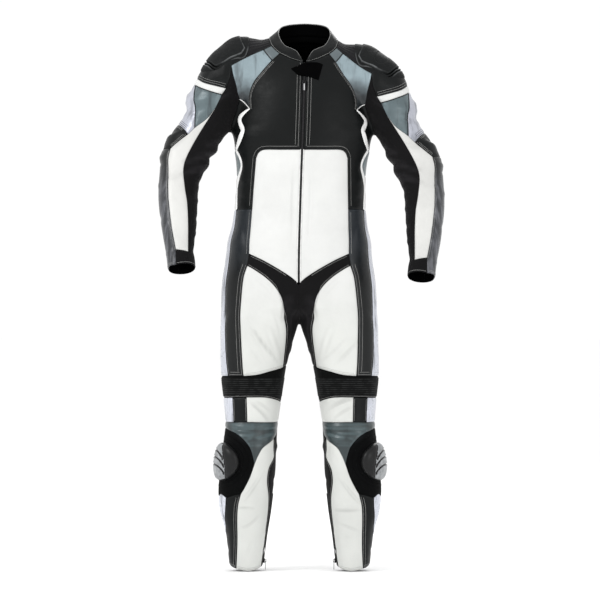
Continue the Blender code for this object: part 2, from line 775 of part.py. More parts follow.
def curve_through(points, step, heights=None):
    """A smooth curve through 3-D points, settled on the surface, its points a step apart or at heights."""
    points = np.array(points)
    ends = np.vstack([2 * points[0] - points[1], points, 2 * points[-1] - points[-2]])
    fine = []
    for a, b, c, d in zip(ends, ends[1:], ends[2:], ends[3:]):
        for t in np.linspace(0, 1, 12, endpoint=False):
            fine.append(
                0.5
                * (2 * b + (c - a) * t + (2 * a - 5 * b + 4 * c - d) * t**2 + (3 * b - a - 3 * c + d) * t**3)
            )
    fine = settle(np.array(fine + [points[-1]]))
    run = np.concatenate([[0], np.cumsum(np.linalg.norm(np.diff(fine, axis=0), axis=1))])
    count = max(2, int(round(run[-1] / step)) + 1)
    at = np.linspace(0, run[-1], count)
    if heights is not None:
        at = np.concatenate([[0], np.interp(-heights[::-1], -fine[:, 2], run), run[-1:]])
    even = settle(np.stack([np.interp(at, run, fine[:, i]) for i in range(3)], axis=1), 3)
    even[0], even[-1] = points[0], points[-1]
    if np.abs(points[:, 0]).max() < 1e-6:
        even[:, 0] = 0.0
    return even


def make_seams(step=SEAM_STEP):
    corners = {name: place(spot) for name, spot in CORNERS.items()}
    seams = {}
    for name, (first, between, last) in SEAMS.items():
        heights = rib_rows(RIB_SEAMS[name]) if name in RIB_SEAMS else None
        points = [corners[first], *map(place, between), corners[last]]
        seams[name] = curve_through(points, min(step, FINE_SEAMS.get(name, step)), heights)
    return seams


def outline_of(names, seams):
    """The seams end to end round a panel, each turned the way that joins."""
    left = [seams[n] for n in names]
    loop = [left[0]]
    nearest = min(np.linalg.norm(left[0][-1] - e) for s in left[1:] for e in (s[0], s[-1]))
    if nearest > 0.01:
        raise ValueError(f"{names[0]} meets no other seam")
    left = left[1:]
    while left:
        end = loop[-1][-1]
        for i, seam in enumerate(left):
            if np.linalg.norm(seam[0] - end) < 0.01:
                loop.append(left.pop(i))
                break
            if np.linalg.norm(seam[-1] - end) < 0.01:
                loop.append(left.pop(i)[::-1])
                break
        else:
            raise ValueError(f"the outline of {names} breaks at {end.round()}")
    return np.vstack([s[:-1] for s in loop])


def inside(points, ring):
    """Which flat points lie inside the ring."""
    x, y = points[:, :1], points[:, 1:]
    x1, y1 = ring.T
    x2, y2 = np.roll(ring, -1, axis=0).T
    spans = (y1 > y) != (y2 > y)
    with np.errstate(divide="ignore", invalid="ignore"):
        hits = spans & (x < (x2 - x1) * (y - y1) / (y2 - y1) + x1)
    return hits.sum(1) % 2 == 1


def rib_rows(name):
    """Heights of a ribbed panel's troughs and crests."""
    top, foot, count, _ = RIBS[name]
    return np.linspace(foot, top, 2 * count + 1)


def mesh_of(chart, ring3, across, along, heights=None):
    """Triangles over the panel inside a ring of surface points: points, triangles, the ring's length.

    Its rows of points stand at the given heights, or evenly.
    """
    if heights is not None:
        along = (heights[-1] - heights[0]) / (len(heights) - 1)
    scale = np.array([across, along], float)
    ring = chart.flat(ring3) / scale
    x, y = ring.T
    if (x * np.roll(y, -1) - y * np.roll(x, -1)).sum() < 0:
        ring, ring3 = ring[::-1], ring3[::-1]
    low, high = ring.min(0), ring.max(0)
    tall = math.sqrt(3) / 2
    rows = np.arange(low[1] + tall / 2, high[1], tall) if heights is None else heights / along
    spots = [
        (x, y)
        for i, y in enumerate(rows)
        for x in np.arange(low[0] + (0.25 if i % 2 else 0.75), high[0], 1.0)
    ]
    spots = np.array(spots).reshape(-1, 2)
    if len(spots):
        spots = spots[inside(spots, ring)]
    if len(spots):
        ahead = np.roll(ring, -1, axis=0)
        run = ahead - ring
        share = ((spots[:, None] - ring) * run).sum(2) / np.maximum((run**2).sum(1), 1e-9)
        near = ring + np.clip(share, 0, 1)[..., None] * run
        away = np.linalg.norm(spots[:, None] - near, axis=2).min(1)
        spots = spots[away > 0.42]
    flat = np.vstack([ring, spots])
    edges = [(i, (i + 1) % len(ring)) for i in range(len(ring))]
    verts, _, faces, origin, _, _ = geometry.delaunay_2d_cdt([Vector(v) for v in flat], edges, [], 1, 1e-7)
    if len(verts) != len(flat):
        raise ValueError("the outline crosses itself")
    order = [ids[0] for ids in origin]
    points = np.vstack([ring3, chart.surface(spots * scale)]) if len(spots) else ring3
    return points, [[order[i] for i in f] for f in faces], len(ring)


def relief(name, p):
    """How far armour, gathers, folds and ribs lift the outside of a panel, in millimetres."""
    lift = np.zeros(len(p))
    for view, a, b, height, across, along in SWELLS:
        d = p - place((view, a, b))
        lift += height * np.exp(-((d[:, 0] ** 2 + d[:, 1] ** 2) / across**2 + (d[:, 2] / along) ** 2))
    for view, first, last, height, width in FOLDS:
        run = [
            place((view, first[0] + t * (last[0] - first[0]), first[1] + t * (last[1] - first[1])))
            for t in (0, 0.25, 0.5, 0.75, 1)
        ]
        best = np.full(len(p), 1e9)
        along = np.zeros(len(p))
        for i, (a, b) in enumerate(zip(run, run[1:])):
            t = np.clip(((p - a) @ (b - a)) / ((b - a) @ (b - a)), 0, 1)
            d = np.linalg.norm(p - (a + t[:, None] * (b - a)), axis=1)
            along = np.where(d < best, (i + t) / 4, along)
            best = np.minimum(best, d)
        lift += height * np.exp(-((best / width) ** 2)) * np.sin(math.pi * np.clip(along, 0.02, 0.98)) ** 0.5
    lift *= np.clip(np.linalg.norm(p - place(CORNERS["pit"]), axis=1) / 40 - 0.4, 0, 1)
    if name in RIBS:
        top, foot, count, height = RIBS[name]
        share = np.clip((top - p[:, 2]) / (top - foot), 0, 1)
        lift += height * (0.5 - 0.5 * np.cos(2 * math.pi * count * share))
    return lift


def tucked(ring, out, middle):
    """The ring's points drawn into their panel by half a seam gap."""
    ahead = np.roll(ring, -1, axis=0) - ring
    ahead /= np.linalg.norm(ahead, axis=1)[:, None]
    side = np.cross(out, ahead)
    back = np.cross(out, np.roll(ahead, 1, axis=0))
    both = side + back
    both /= np.maximum((both**2).sum(1) / 2, 0.25)[:, None]
    move = both * SEAM_GAP / 2
    if middle:
        on = np.abs(ring[:, 0]) < 1e-6
        move[on, 0] = 0.0
    return ring + move


# ---- pose, mirror and objects ----------------------------------------------------------------------


def posed(p):
    """The small lean of the suit and the lower left arm, on points of either side."""
    p = p.copy()
    start, whole = (np.interp(p[:, 2], ARM_SPAN_AT[:, 0], ARM_SPAN_AT[:, i]) for i in (1, 2))
    t = np.clip((np.abs(p[:, 0]) - start) / (whole - start), 0, 1)
    t = t * t * (3 - 2 * t)
    shift = np.interp(p[:, 2], LEAN_AT[:, 0], LEAN_AT[:, 1])
    p[:, 2] -= LEFT_ARM_DROP * t * (p[:, 0] > 0)
    p[:, 0] += shift + (ARM_LEAN - shift) * t
    return p


def add_object(name, verts, faces, look, flip=False, weld=False):
    """One closed body as an object: verts in millimetres, unposed."""
    verts = np.asarray(verts, float)
    if flip:
        verts = verts * (-1, 1, 1)
        faces = [f[::-1] for f in faces]
    bm = bmesh.new()
    made = [bm.verts.new(v * MM) for v in posed(verts)]
    for face in faces:
        bm.faces.new([made[i] for i in face])
    if weld:
        bmesh.ops.remove_doubles(bm, verts=bm.verts, dist=1e-6)
    mesh = bpy.data.meshes.new(name)
    bm.to_mesh(mesh)
    bm.free()
    mesh.shade_smooth()
    mesh.set_sharp_from_angle(angle=math.radians(40))
    obj = bpy.data.objects.new(name, mesh)
    obj.data.materials.append(material(name, *look))
    bpy.data.collections["race_suit"].objects.link(obj)
    return obj


def material(name, colour, rough, metallic):
    made = bpy.data.materials.new(name)
    made.use_nodes = True
    shader = made.node_tree.nodes["Principled BSDF"]
    shader.inputs["Base Color"].default_value = (*colour, 1)
    shader.inputs["Roughness"].default_value = rough
    shader.inputs["Metallic"].default_value = metallic
    return made


def wall(outer, inner, faces, inside_faces, rim):
    """Points and faces of a closed wall from its two skins and the ring of edges between them."""
    n = len(outer)
    body = list(faces) + [[i + n for i in f[::-1]] for f in inside_faces]
    rank = outer @ (0.31, 0.57, 0.76)
    for a, b in rim:
        # Neighbouring panels split the strip between their skins along the same diagonal.
        if rank[a] > rank[b]:
            body += [[b, a, a + n], [b, a + n, b + n]]
        else:
            body += [[b, a, b + n], [a, a + n, b + n]]
    return np.vstack([outer, inner]), body


def panel_wall(name, spec, seams, whole=False):
    (kind, middle, across, along), names = spec
    chart, ring = Chart(kind, middle), outline_of(names, seams)
    points, faces, count = mesh_of(chart, ring, across, along, rib_rows(name) if name in RIBS else None)
    out = normals(points)
    points[:count] = tucked(points[:count], out[:count], whole)
    outer = points + out * relief(name, points)[:, None]
    if name in RIBS:
        plain, inside_faces, _ = mesh_of(chart, ring, across, along)
        plain[:count] = points[:count]
        inner = plain - np.vstack([out[:count], normals(plain[count:])]) * WALL
        side = np.abs(points[:count, 0]) > 1.0
        outer[:count][side] = points[:count][side]
    else:
        inner, inside_faces = points - out * WALL, faces
    rim = [(i, (i + 1) % count) for i in range(count)]
    if whole:
        on_outer, on_inner = (np.arange(len(p)) < count for p in (outer, inner))
        on_outer &= np.abs(outer[:, 0]) < 1.0
        on_inner &= np.abs(inner[:, 0]) < 1.0
        outer[on_outer, 0] = inner[on_inner, 0] = 0.0
        rim = [(a, b) for a, b in rim if not (on_outer[a] and on_outer[b])]
    return wall(outer, inner, faces, inside_faces, rim)


BLACK = ((0.02, 0.022, 0.023), 0.45, 0.0)
STRETCH = ((0.008, 0.008, 0.01), 0.8, 0.0)
WHITE = ((0.85, 0.85, 0.83), 0.4, 0.0)
GREY = ((0.25, 0.3, 0.32), 0.35, 0.2)
SILVER = ((0.62, 0.63, 0.72), 0.35, 0.3)
STEEL = ((0.7, 0.7, 0.72), 0.3, 0.9)
LOOKS = {
    "wedge": GREY,
    "belly": WHITE,
    "arm_band": WHITE,
    "upper_arm_grey": GREY,
    "upper_arm_silver": SILVER,
    "forearm_white": WHITE,
    "inner_sleeve": STRETCH,
    "groin": STRETCH,
    "thigh_front": WHITE,
    "thigh_silver": SILVER,
    "knee_band": STRETCH,
    "above_knee": WHITE,
    "knee_yoke": GREY,
    "slider_base": STRETCH,
    "shin_white": WHITE,
    "calf": STRETCH,
}
SIDES = (("R", True), ("L", False))


def make_panels(seams):
    for name, spec in PANELS.items():
        verts, faces = panel_wall(name, spec, seams)
        for side, flip in SIDES:
            add_object(f"{name}_{side}", verts, faces, LOOKS.get(name, BLACK), flip)
    for name, spec in WHOLE_PANELS.items():
        verts, faces = both_halves(*panel_wall(name, spec, seams, whole=True))
        add_object(name, verts, faces, LOOKS.get(name, BLACK), weld=True)


def both_halves(verts, faces):
    n = len(verts)
    return np.vstack([verts, verts * (-1, 1, 1)]), list(faces) + [[i + n for i in f[::-1]] for f in faces]


def grid_faces(rows, columns):
    return [
        [i * columns + j, i * columns + j + 1, (i + 1) * columns + j + 1, (i + 1) * columns + j]
        for i in range(rows - 1)
        for j in range(columns - 1)
    ]


def grid_rim(rows, columns):
    """The ring of a grid's edge points, in the order that suits its faces."""
    foot = list(range(columns))
    right = [i * columns + columns - 1 for i in range(1, rows)]
    top = [(rows - 1) * columns + j for j in range(columns - 2, -1, -1)]
    left = [i * columns for i in range(rows - 2, 0, -1)]
    ring = foot + right + top + left
    return list(zip(ring, ring[1:] + ring[:1]))


def even_run(points, count):
    run = np.concatenate([[0], np.cumsum(np.linalg.norm(np.diff(points, axis=0), axis=1))])
    at = np.linspace(0, run[-1], count)
    return np.stack([np.interp(at, run, points[:, i]) for i in range(3)], axis=1)


def make_collar(seams):
    columns, rows = 17, 4
    base = np.vstack([seams["neck_chest"][:-1], seams["neck_wedge"][:-1], seams["neck_yoke"]])
    base = even_run(base, columns)
    top = np.array(COLLAR_TOP, float)
    steps = np.linspace(0, len(top) - 1, 60)
    top = np.stack([np.interp(steps, range(len(top)), top[:, i]) for i in range(3)], axis=1)
    top = even_run(top, columns)
    skin = normals(base)
    run = np.gradient(base, axis=0)
    inward = np.cross(skin, run)
    inward /= np.linalg.norm(inward, axis=1)[:, None]
    inward[:, 0] *= np.abs(base[:, 0]) > 1e-6
    inward *= np.sign((inward * (top - base)).sum(1))[:, None]
    foot = base + inward * SEAM_GAP / 2
    lines = []
    for t in np.linspace(0, 1, rows):
        bow = COLLAR_SWELL * math.sin(math.pi * t)
        lines.append(foot + t * (top - foot) + skin * (1, 1, 0) * bow)
    outer = np.array(lines)
    along = np.gradient(outer, axis=1)
    upward = np.gradient(outer, axis=0)
    out = np.cross(along, upward)
    out /= np.linalg.norm(out, axis=2)[..., None]
    if (out[2] * skin).sum() < 0:
        out = -out
    out[0] = skin
    inner = outer - out * np.linspace(WALL, COLLAR_WALL, rows)[:, None, None]
    outer[:, -1, 0] = inner[:, -1, 0] = 0.0
    faces = grid_faces(rows, columns)
    rim = grid_rim(rows, columns)
    rim = [(a, b) for a, b in rim if not (a % columns == b % columns == columns - 1)]
    a, b, c = (outer.reshape(-1, 3)[i] for i in faces[columns * 2][:3])
    if np.cross(b - a, c - a) @ out.reshape(-1, 3)[faces[columns * 2][0]] < 0:
        faces = [f[::-1] for f in faces]
        rim = [(b, a) for a, b in rim]
    verts, faces = wall(outer.reshape(-1, 3), inner.reshape(-1, 3), faces, faces, rim)
    verts, faces = both_halves(verts, faces)
    add_object("collar", verts, faces, BLACK, weld=True)


def front_points(outs, heights):
    """Surface points seen from the front, for every pair of the two lists."""
    x, z = np.meshgrid(outs, heights)
    start = np.stack([x.ravel(), np.full(x.size, -300.0), z.ravel()], axis=1)
    return first_wall(start, np.tile((0.0, 1.0, 0.0), (x.size, 1)), leaving=False)


def make_tab():
    half, top, foot, thick = TAB
    outs = np.linspace(-half, half, 8)
    points = front_points(outs, np.linspace(foot, top, 4))
    tip = points[:, 0] < -half + 1
    points[tip, 0] += 8.0 * np.abs((points[tip, 2] - (top + foot) / 2) / (top - foot) * 2) ** 2
    points = settle(points)
    out = normals(points)
    inner = points + out * 0.9
    faces = grid_faces(4, 8)
    verts, faces = wall(inner + out * thick, inner, faces, faces, grid_rim(4, 8))
    add_object("collar_tab", verts, faces, STRETCH)


def make_zip():
    half, top, foot, thick = ZIP_TAPE
    rows = 27
    points = front_points([-half, half], np.linspace(foot, top, rows))
    out = normals(points)
    outer = points + out * 0.1
    faces = grid_faces(rows, 2)
    verts, faces = wall(outer, outer - out * thick, faces, faces, grid_rim(rows, 2))
    add_object("zip_chain", verts, faces, BLACK)


def pad(name, chart, ring, spacing, shape, centre, look):
    """A domed pad lying on the surface inside a ring of surface points."""
    rim_height, rise, square = shape
    points, faces, count = mesh_of(chart, ring, spacing, spacing)
    out = normals(points)
    flat = chart.flat(points)
    middle = chart.flat(centre[None])[0]
    edge = flat[:count]
    turn = np.arctan2(*(edge - middle).T)
    reach = np.linalg.norm(edge - middle, axis=1)
    order = np.argsort(turn)
    far = np.interp(np.arctan2(*(flat - middle).T), turn[order], reach[order], period=2 * math.pi)
    share = np.clip(np.linalg.norm(flat - middle, axis=1) / far, 0, 1)
    share[:count] = 1.0
    height = rim_height + rise * (1 - share**square) ** (1 / square)
    lift = relief(name, points)
    inner = points + out * (PAD_CLEAR + lift)[:, None]
    rim = [(i, (i + 1) % count) for i in range(count)]
    verts, faces = wall(inner + out * height[:, None], inner, faces, faces, rim)
    for side, flip in SIDES:
        add_object(f"{name}_{side}", verts, faces, look, flip)


def make_pads():
    ring = curve_through([place(spot) for spot in CUP_OUTLINE + CUP_OUTLINE[:1]], 19.0)[:-1]
    centre = place(("T", 206, 0))
    pad("shoulder_cup", Chart("shoulder_fan"), ring, 20.0, CUP, centre, BLACK)
    turn = np.linspace(0, 2 * math.pi, 20, endpoint=False)
    angle = np.radians(PUCK_CENTRE[0] + PUCK_SIZE[0] * np.cos(turn))
    ring = from_axis("leg", angle, PUCK_CENTRE[1] + PUCK_SIZE[1] * np.sin(turn))
    centre = place(("leg", *PUCK_CENTRE))
    pad("slider_puck", Chart("leg", PUCK_CENTRE[0]), ring, 17.0, PUCK, centre, BLACK)


def box_body(name, low, high, bevel):
    bm = bmesh.new()
    bmesh.ops.create_cube(bm, size=1.0)
    low, high = Vector(low), Vector(high)
    for v in bm.verts:
        v.co = [(a + b) / 2 + c * (b - a) for a, b, c in zip(low, high, v.co)]
    if bevel:
        bmesh.ops.bevel(bm, geom=bm.edges[:], offset=bevel, segments=2, affect="EDGES", profile=0.5)
    mesh = bpy.data.meshes.new(name)
    bm.to_mesh(mesh)
    bm.free()
    return bpy.data.objects.new(name, mesh)


def combined(first, others):
    """Adds or cuts the other bodies in turn, each given as (body, operation), and returns the first."""
    scene = bpy.context.scene.collection
    scene.objects.link(first)
    for body, operation in others:
        scene.objects.link(body)
        change = first.modifiers.new("change", "BOOLEAN")
        change.operation = operation
        change.object = body
        change.solver = "EXACT"
        bpy.context.view_layer.update()
        made = bpy.data.meshes.new_from_object(first.evaluated_get(bpy.context.evaluated_depsgraph_get()))
        first.modifiers.clear()
        first.data = made
        bpy.data.objects.remove(body)
    scene.objects.unlink(first)
    return first


def slider_bodies(foot):
    """A zip slider with its bridge, in millimetres: x across, y into the cloth, z up the zip."""
    half, long, thick = SLIDER
    wide, in_long, out_long, in_high, out_high = BRIDGE
    body = box_body("slider", (-half, -foot - thick, -long), (half, -foot, long), 0.8)
    face = -foot - thick
    arch = box_body("arch", (-wide, face - out_high, -out_long), (wide, face + 0.6, out_long), 0.0)
    hole = box_body("hole", (-9, face - in_high, -in_long), (9, face, in_long), 0.0)
    return body, combined(arch, [(hole, "DIFFERENCE")])


def pull_body(lean):
    """A pull tab, its bar on the x axis: it hangs down, leaning toward the cloth by some degrees."""
    half, long, thick = PULL
    plate = box_body("plate", (-half, -thick, -long), (half, thick, thick), 0.4)
    window = box_body("window", (-PULL_WINDOW[0], -9, -PULL_WINDOW[1]), (PULL_WINDOW[0], 9, -thick), 0.0)
    plate = combined(plate, [(window, "DIFFERENCE")])
    turn = Matrix.Rotation(math.radians(lean), 3, "X")
    for v in plate.data.vertices:
        v.co = turn @ v.co
    return plate


def finish(obj, name, look):
    obj.name = obj.data.name = name
    obj.data.materials.clear()
    obj.data.materials.append(material(name, *look))
    obj.data.shade_smooth()
    obj.data.set_sharp_from_angle(angle=math.radians(40))
    bpy.data.collections["race_suit"].objects.link(obj)


def local_axes(point, mirror):
    """Columns across, into the cloth and up at a surface point, as numpy."""
    into = -normals(point[None])[0]
    if mirror:
        into = into * (-1, 1, 1)
    up = np.array((0.0, 0.0, 1.0)) - into[2] * into
    up /= np.linalg.norm(up)
    return np.stack([np.cross(into, up), into, up], axis=1)


def laid(mesh, axes, point):
    for v in mesh.vertices:
        v.co = Vector((axes @ np.array(v.co) + point) * MM)


def make_front_pull():
    at = front_points([0.0], [ZIP_SLIDER_AT])[0]
    axes = local_axes(at, False)
    at = posed(at[None])[0]
    body, arch = slider_bodies(0.4)
    slider = combined(body, [(arch, "UNION")])
    laid(slider.data, axes, at)
    finish(slider, "zip_slider", STEEL)
    hang(at, axes, axes, 0.4, PULL_LEAN, "zip_pull")


def hang(at, slider_axes, pull_axes, foot, lean, name):
    """A pull tab on the bridge of the slider at a point, its origin on the bar's axis."""
    bar_at = at + slider_axes @ np.array((0.0, -foot - SLIDER[2] - 1.5, 0.0))
    pull = pull_body(lean)
    laid(pull.data, pull_axes, np.zeros(3))
    pull.location = Vector(bar_at * MM)
    finish(pull, name, STEEL)


def make_ankle_zips():
    turn, top, foot, half = ANKLE_ZIP
    rows = 9
    heights = np.repeat(np.linspace(foot, top, rows), 2)
    middle = from_axis("leg", np.full(rows * 2, math.radians(turn)), heights)
    out = normals(middle)
    across = np.cross((0.0, 0.0, 1.0), out)
    across /= np.linalg.norm(across, axis=1)[:, None]
    side = np.tile((-half, half), rows)[:, None]
    inner = settle(middle + across * side) + out * 0.5
    outer = inner + out * 2.0
    faces = grid_faces(rows, 2)
    verts, faces = wall(outer, inner, faces, faces, grid_rim(rows, 2))
    at = from_axis("leg", np.array([math.radians(turn)]), np.array([ANKLE_SLIDER_AT]))[0]
    for name, flip in SIDES:
        sign = np.array((-1, 1, 1)) if flip else np.ones(3)
        mesh = bpy.data.meshes.new("tape")
        mesh.from_pydata([Vector(v) for v in posed(verts * sign)], [], [f[::-1] if flip else f for f in faces])
        body, arch = slider_bodies(1.7)
        axes = local_axes(at, flip)
        spot = posed((at * sign)[None])[0]
        for part in (body, arch):
            for v in part.data.vertices:
                v.co = Vector(axes @ np.array(v.co) + spot)
        tape = combined(bpy.data.objects.new("tape", mesh), [(body, "UNION"), (arch, "UNION")])
        for v in tape.data.vertices:
            v.co *= MM
        finish(tape, f"ankle_zip_{name}", BLACK)
        into = axes[:, 1] * (1, 1, 0) / np.linalg.norm(axes[:2, 1])
        upright = np.stack([axes[:, 0], into, (0.0, 0.0, 1.0)], axis=1)
        hang(spot, axes, upright, 1.7, 0.0, f"ankle_pull_{name}")


def main():
    for obj in list(bpy.data.objects):
        bpy.data.objects.remove(obj)
    bpy.context.scene.collection.children.link(bpy.data.collections.new("race_suit"))
    seams = make_seams()
    make_panels(seams)
    make_collar(seams)
    make_tab()
    make_zip()
    make_pads()
    make_front_pull()
    make_ankle_zips()


main()
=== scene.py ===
"""Looks of the leather motorcycle race suit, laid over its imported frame.

The worn surface is the frame's own: five tubes run together. Each sewn piece is a sheet between seams on
it, with its creases, ribs and rolled edges. Tables are in millimetres with one side's x outward, the meshes
in metres.
"""

import math

import bmesh
import bpy
import numpy as np
from mathutils import Matrix, Vector, geometry, noise


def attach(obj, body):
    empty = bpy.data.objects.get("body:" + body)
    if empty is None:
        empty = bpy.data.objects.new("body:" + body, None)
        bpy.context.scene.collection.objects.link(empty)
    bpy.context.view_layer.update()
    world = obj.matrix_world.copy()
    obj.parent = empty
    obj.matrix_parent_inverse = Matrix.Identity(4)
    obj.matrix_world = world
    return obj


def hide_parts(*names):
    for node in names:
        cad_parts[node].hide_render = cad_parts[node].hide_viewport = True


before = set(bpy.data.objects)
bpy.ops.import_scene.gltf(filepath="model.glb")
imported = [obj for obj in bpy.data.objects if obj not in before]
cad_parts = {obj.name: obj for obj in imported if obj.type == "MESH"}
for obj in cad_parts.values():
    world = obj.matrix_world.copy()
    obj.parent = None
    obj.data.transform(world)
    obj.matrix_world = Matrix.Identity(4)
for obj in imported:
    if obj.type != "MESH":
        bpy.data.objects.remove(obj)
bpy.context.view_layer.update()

MM = 0.001
SUIT = "suit"
BLEND = 34.0  # how softly the tubes run into each other
SQUARE = 2.3  # the tubes' sections, between an ellipse, 2, and a box
ZIP_HALF = 4.3  # middle of the front zip to the leather beside it
SEAM_STEP = 4.5  # along a seam, between its points

# ---- the worn form ---------------------------------------------------------------------------------

# height, half width, front depth, back depth
TRUNK = [
    (80, 66, 50, 62),
    (45, 78, 52, 68),
    (27, 92, 54, 72),
    (12, 104, 58, 78),
    (0, 114, 63, 84),
    (-19, 132, 70, 92),
    (-36, 146, 78, 98),
    (-60, 160, 92, 104),
    (-110, 167, 112, 112),
    (-165, 171, 122, 114),
    (-200, 181, 124, 112),
    (-225, 186, 125, 110),
    (-256, 182, 124, 107),
    (-310, 176, 121, 100),
    (-380, 174, 118, 94),
    (-432, 177, 117, 94),
    (-500, 185, 118, 104),
    (-567, 188, 116, 120),
    (-648, 190, 108, 130),
    (-690, 186, 98, 128),
]
# height, middle outward, middle back, half width, front depth, back depth
ARM = [
    (12, 166, 0, 34, 34, 36),
    (-10, 177, 0, 56, 58, 60),
    (-30, 186, 0, 65, 68, 71),
    (-51, 196, 0, 70, 74, 77),
    (-81, 211, 0, 73, 78, 80),
    (-108, 223, 0, 73, 78, 79),
    (-135, 235, -2, 75, 76, 77),
    (-162, 240, -5, 70, 72, 75),
    (-189, 253, -8, 70, 69, 73),
    (-216, 269, -12, 71, 67, 72),
    (-243, 286, -17, 70, 65, 73),
    (-270, 300, -22, 69, 63, 73),
    (-297, 313, -28, 65, 61, 70),
    (-324, 319, -35, 61, 59, 66),
    (-351, 328, -45, 54, 57, 60),
    (-405, 331, -66, 52, 54, 56),
    (-472, 328, -93, 47, 50, 50),
    (-513, 327, -109, 41, 46, 45),
    (-553, 323, -124, 37, 42, 41),
    (-589, 319, -138, 37, 41, 41),
    (-660, 313, -164, 37, 41, 41),
]
LEG = [
    (-540, 97, 2, 88, 92, 104),
    (-648, 102, 0, 99, 100, 112),
    (-734, 107, -5, 104, 99, 105),
    (-810, 119, -12, 93, 94, 97),
    (-875, 126, -18, 86, 90, 88),
    (-945, 128, -26, 77, 84, 79),
    (-999, 130, -32, 71, 80, 73),
    (-1080, 136, -36, 71, 80, 70),
    (-1134, 140, -32, 73, 74, 74),
    (-1188, 146, -24, 73, 66, 80),
    (-1247, 147, -14, 67, 61, 79),
    (-1296, 144, -6, 56, 57, 71),
    (-1350, 144, 2, 49, 54, 61),
    (-1399, 145, 8, 44, 52, 55),
    (-1450, 146, 14, 41, 50, 52),
]
# outward, middle back, middle height, half depth, half height: a bar across the shoulders
SHOULDER = [
    (0, 6, -50, 84, 62),
    (90, 5, -48, 82, 70),
    (147, 3, -46, 80, 72),
    (182, 1, -52, 78, 72),
    (202, 0, -62, 74, 66),
]
CAPS = {"trunk": (20, 30), "arm": (16, 20), "leg": (60, 20)}  # rounding above and below each tube

# height, sideways shift of trunk and legs: the suit leans a little as it hangs
LEAN = [(80, 7.5), (-60, 6.5), (-400, -4.0), (-570, -8.5), (-740, -7.5), (-810, -6.5), (-1450, -6.5)]
ARM_LEAN = -1.5  # the arms' own shift
LEFT_ARM_DROP = 22.0  # the left arm hangs lower than the right
# height, outward, where the arm's own pose starts and where it is whole
ARM_SPAN = [(-60, 45, 175), (-220, 150, 260), (-450, 225, 285), (-1450, 225, 285)]


def eased(rows, step=4.0):
    """The table at close, even steps along smooth curves through its rows, first column rising."""
    rows = np.array(sorted(rows), float)
    at = rows[:, 0]
    slope = np.gradient(rows, at, axis=0)
    out = []
    for i in range(len(rows) - 1):
        span = at[i + 1] - at[i]
        t = np.linspace(0, 1, max(2, int(span / step)), endpoint=False)[:, None]
        out.append(
            (2 * t**3 - 3 * t**2 + 1) * rows[i]
            + (t**3 - 2 * t**2 + t) * span * slope[i]
            + (3 * t**2 - 2 * t**3) * rows[i + 1]
            + (t**3 - t**2) * span * slope[i + 1]
        )
    return np.vstack(out + [rows[-1:]])


def read(table, at):
    return [np.interp(at, table[:, 0], table[:, i]) for i in range(1, table.shape[1])]


TUBES = {
    "trunk": eased([(z, 0, 0, a, f, b) for z, a, f, b in TRUNK]),
    "arm": eased(ARM),
    "leg": eased(LEG),
}
BAR = eased(SHOULDER)
LEAN_AT = eased(LEAN)
ARM_SPAN_AT = np.array(sorted(ARM_SPAN), float)


def tube(name, x, y, z):
    """Millimetres outside the tube, less than nought inside it."""
    table = TUBES[name]
    out, back, wide, front, rear = read(table, z)
    above, below = CAPS[name]
    over = np.maximum(z - table[-1, 0], 0) / above + np.maximum(table[0, 0] - z, 0) / below
    past = np.maximum(z - table[-1, 0], 0) + np.maximum(table[0, 0] - z, 0)
    across, along = x - out, y - back
    deep = np.where(along < 0, front, rear)
    share = np.abs(across / wide) ** SQUARE + np.abs(along / deep) ** SQUARE + over**SQUARE
    share = np.maximum(share, 1e-9) ** (1 / SQUARE)
    return (share - 1) * np.sqrt(across**2 + along**2 + past**2) / share


def bar(x, y, z):
    back, height, deep, tall = read(BAR, x)
    past = np.maximum(x - SHOULDER[-1][0], 0)
    share = np.sqrt(((y - back) / deep) ** 2 + ((z - height) / tall) ** 2 + (past / 24) ** 2)
    share = np.maximum(share, 1e-9)
    return (share - 1) * np.sqrt((y - back) ** 2 + (z - height) ** 2 + past**2) / share


def join(a, b, soft=BLEND):
    near = np.maximum(soft - np.abs(a - b), 0) / soft
    return np.minimum(a, b) - near**2 * soft / 4


def field(p):
    x, y, z = np.abs(p[:, 0]), p[:, 1], p[:, 2]
    body = join(tube("trunk", x, y, z), bar(x, y, z))
    legs = join(tube("leg", x, y, z), tube("leg", -x, y, z), 12.0)
    return join(join(body, tube("arm", x, y, z)), legs)


def slope_of(p):
    """The field's gradient."""
    e = 0.5
    steps = np.eye(3) * e
    return np.stack([(field(p + s) - field(p - s)) / (2 * e) for s in steps], axis=1)


def normals(p):
    g = slope_of(p)
    return g / np.linalg.norm(g, axis=1)[:, None]


def settle(p, times=5):
    """Moves points along the field's gradient onto the worn surface."""
    p = p.copy()
    for _ in range(times):
        g = slope_of(p)
        p -= np.clip(field(p) / (g**2).sum(1), -25, 25)[:, None] * g
    return p


def first_wall(start, way, leaving=True, reach=480.0, step=5.0):
    """Where rays first leave the worn form, or first enter it."""
    sign = 1.0 if leaving else -1.0
    low = np.zeros(len(start))
    high = np.full(len(start), np.nan)
    t = 0.0
    while t < reach and np.isnan(high).any():
        t += step
        crossed = np.isnan(high) & (sign * field(start + way * t) > 0)
        high[crossed] = t
        low[np.isnan(high)] = t
    if np.isnan(high).any():
        bad = start[np.isnan(high)][0]
        raise ValueError(f"no wall seen from {bad}, along {way[np.isnan(high)][0]}")
    for _ in range(14):
        mid = (low + high) / 2
        past = sign * field(start + way * mid[:, None]) > 0
        high = np.where(past, mid, high)
        low = np.where(past, low, mid)
    return start + way * high[:, None]


# ---- charts: flat maps of the surface --------------------------------------------------------------

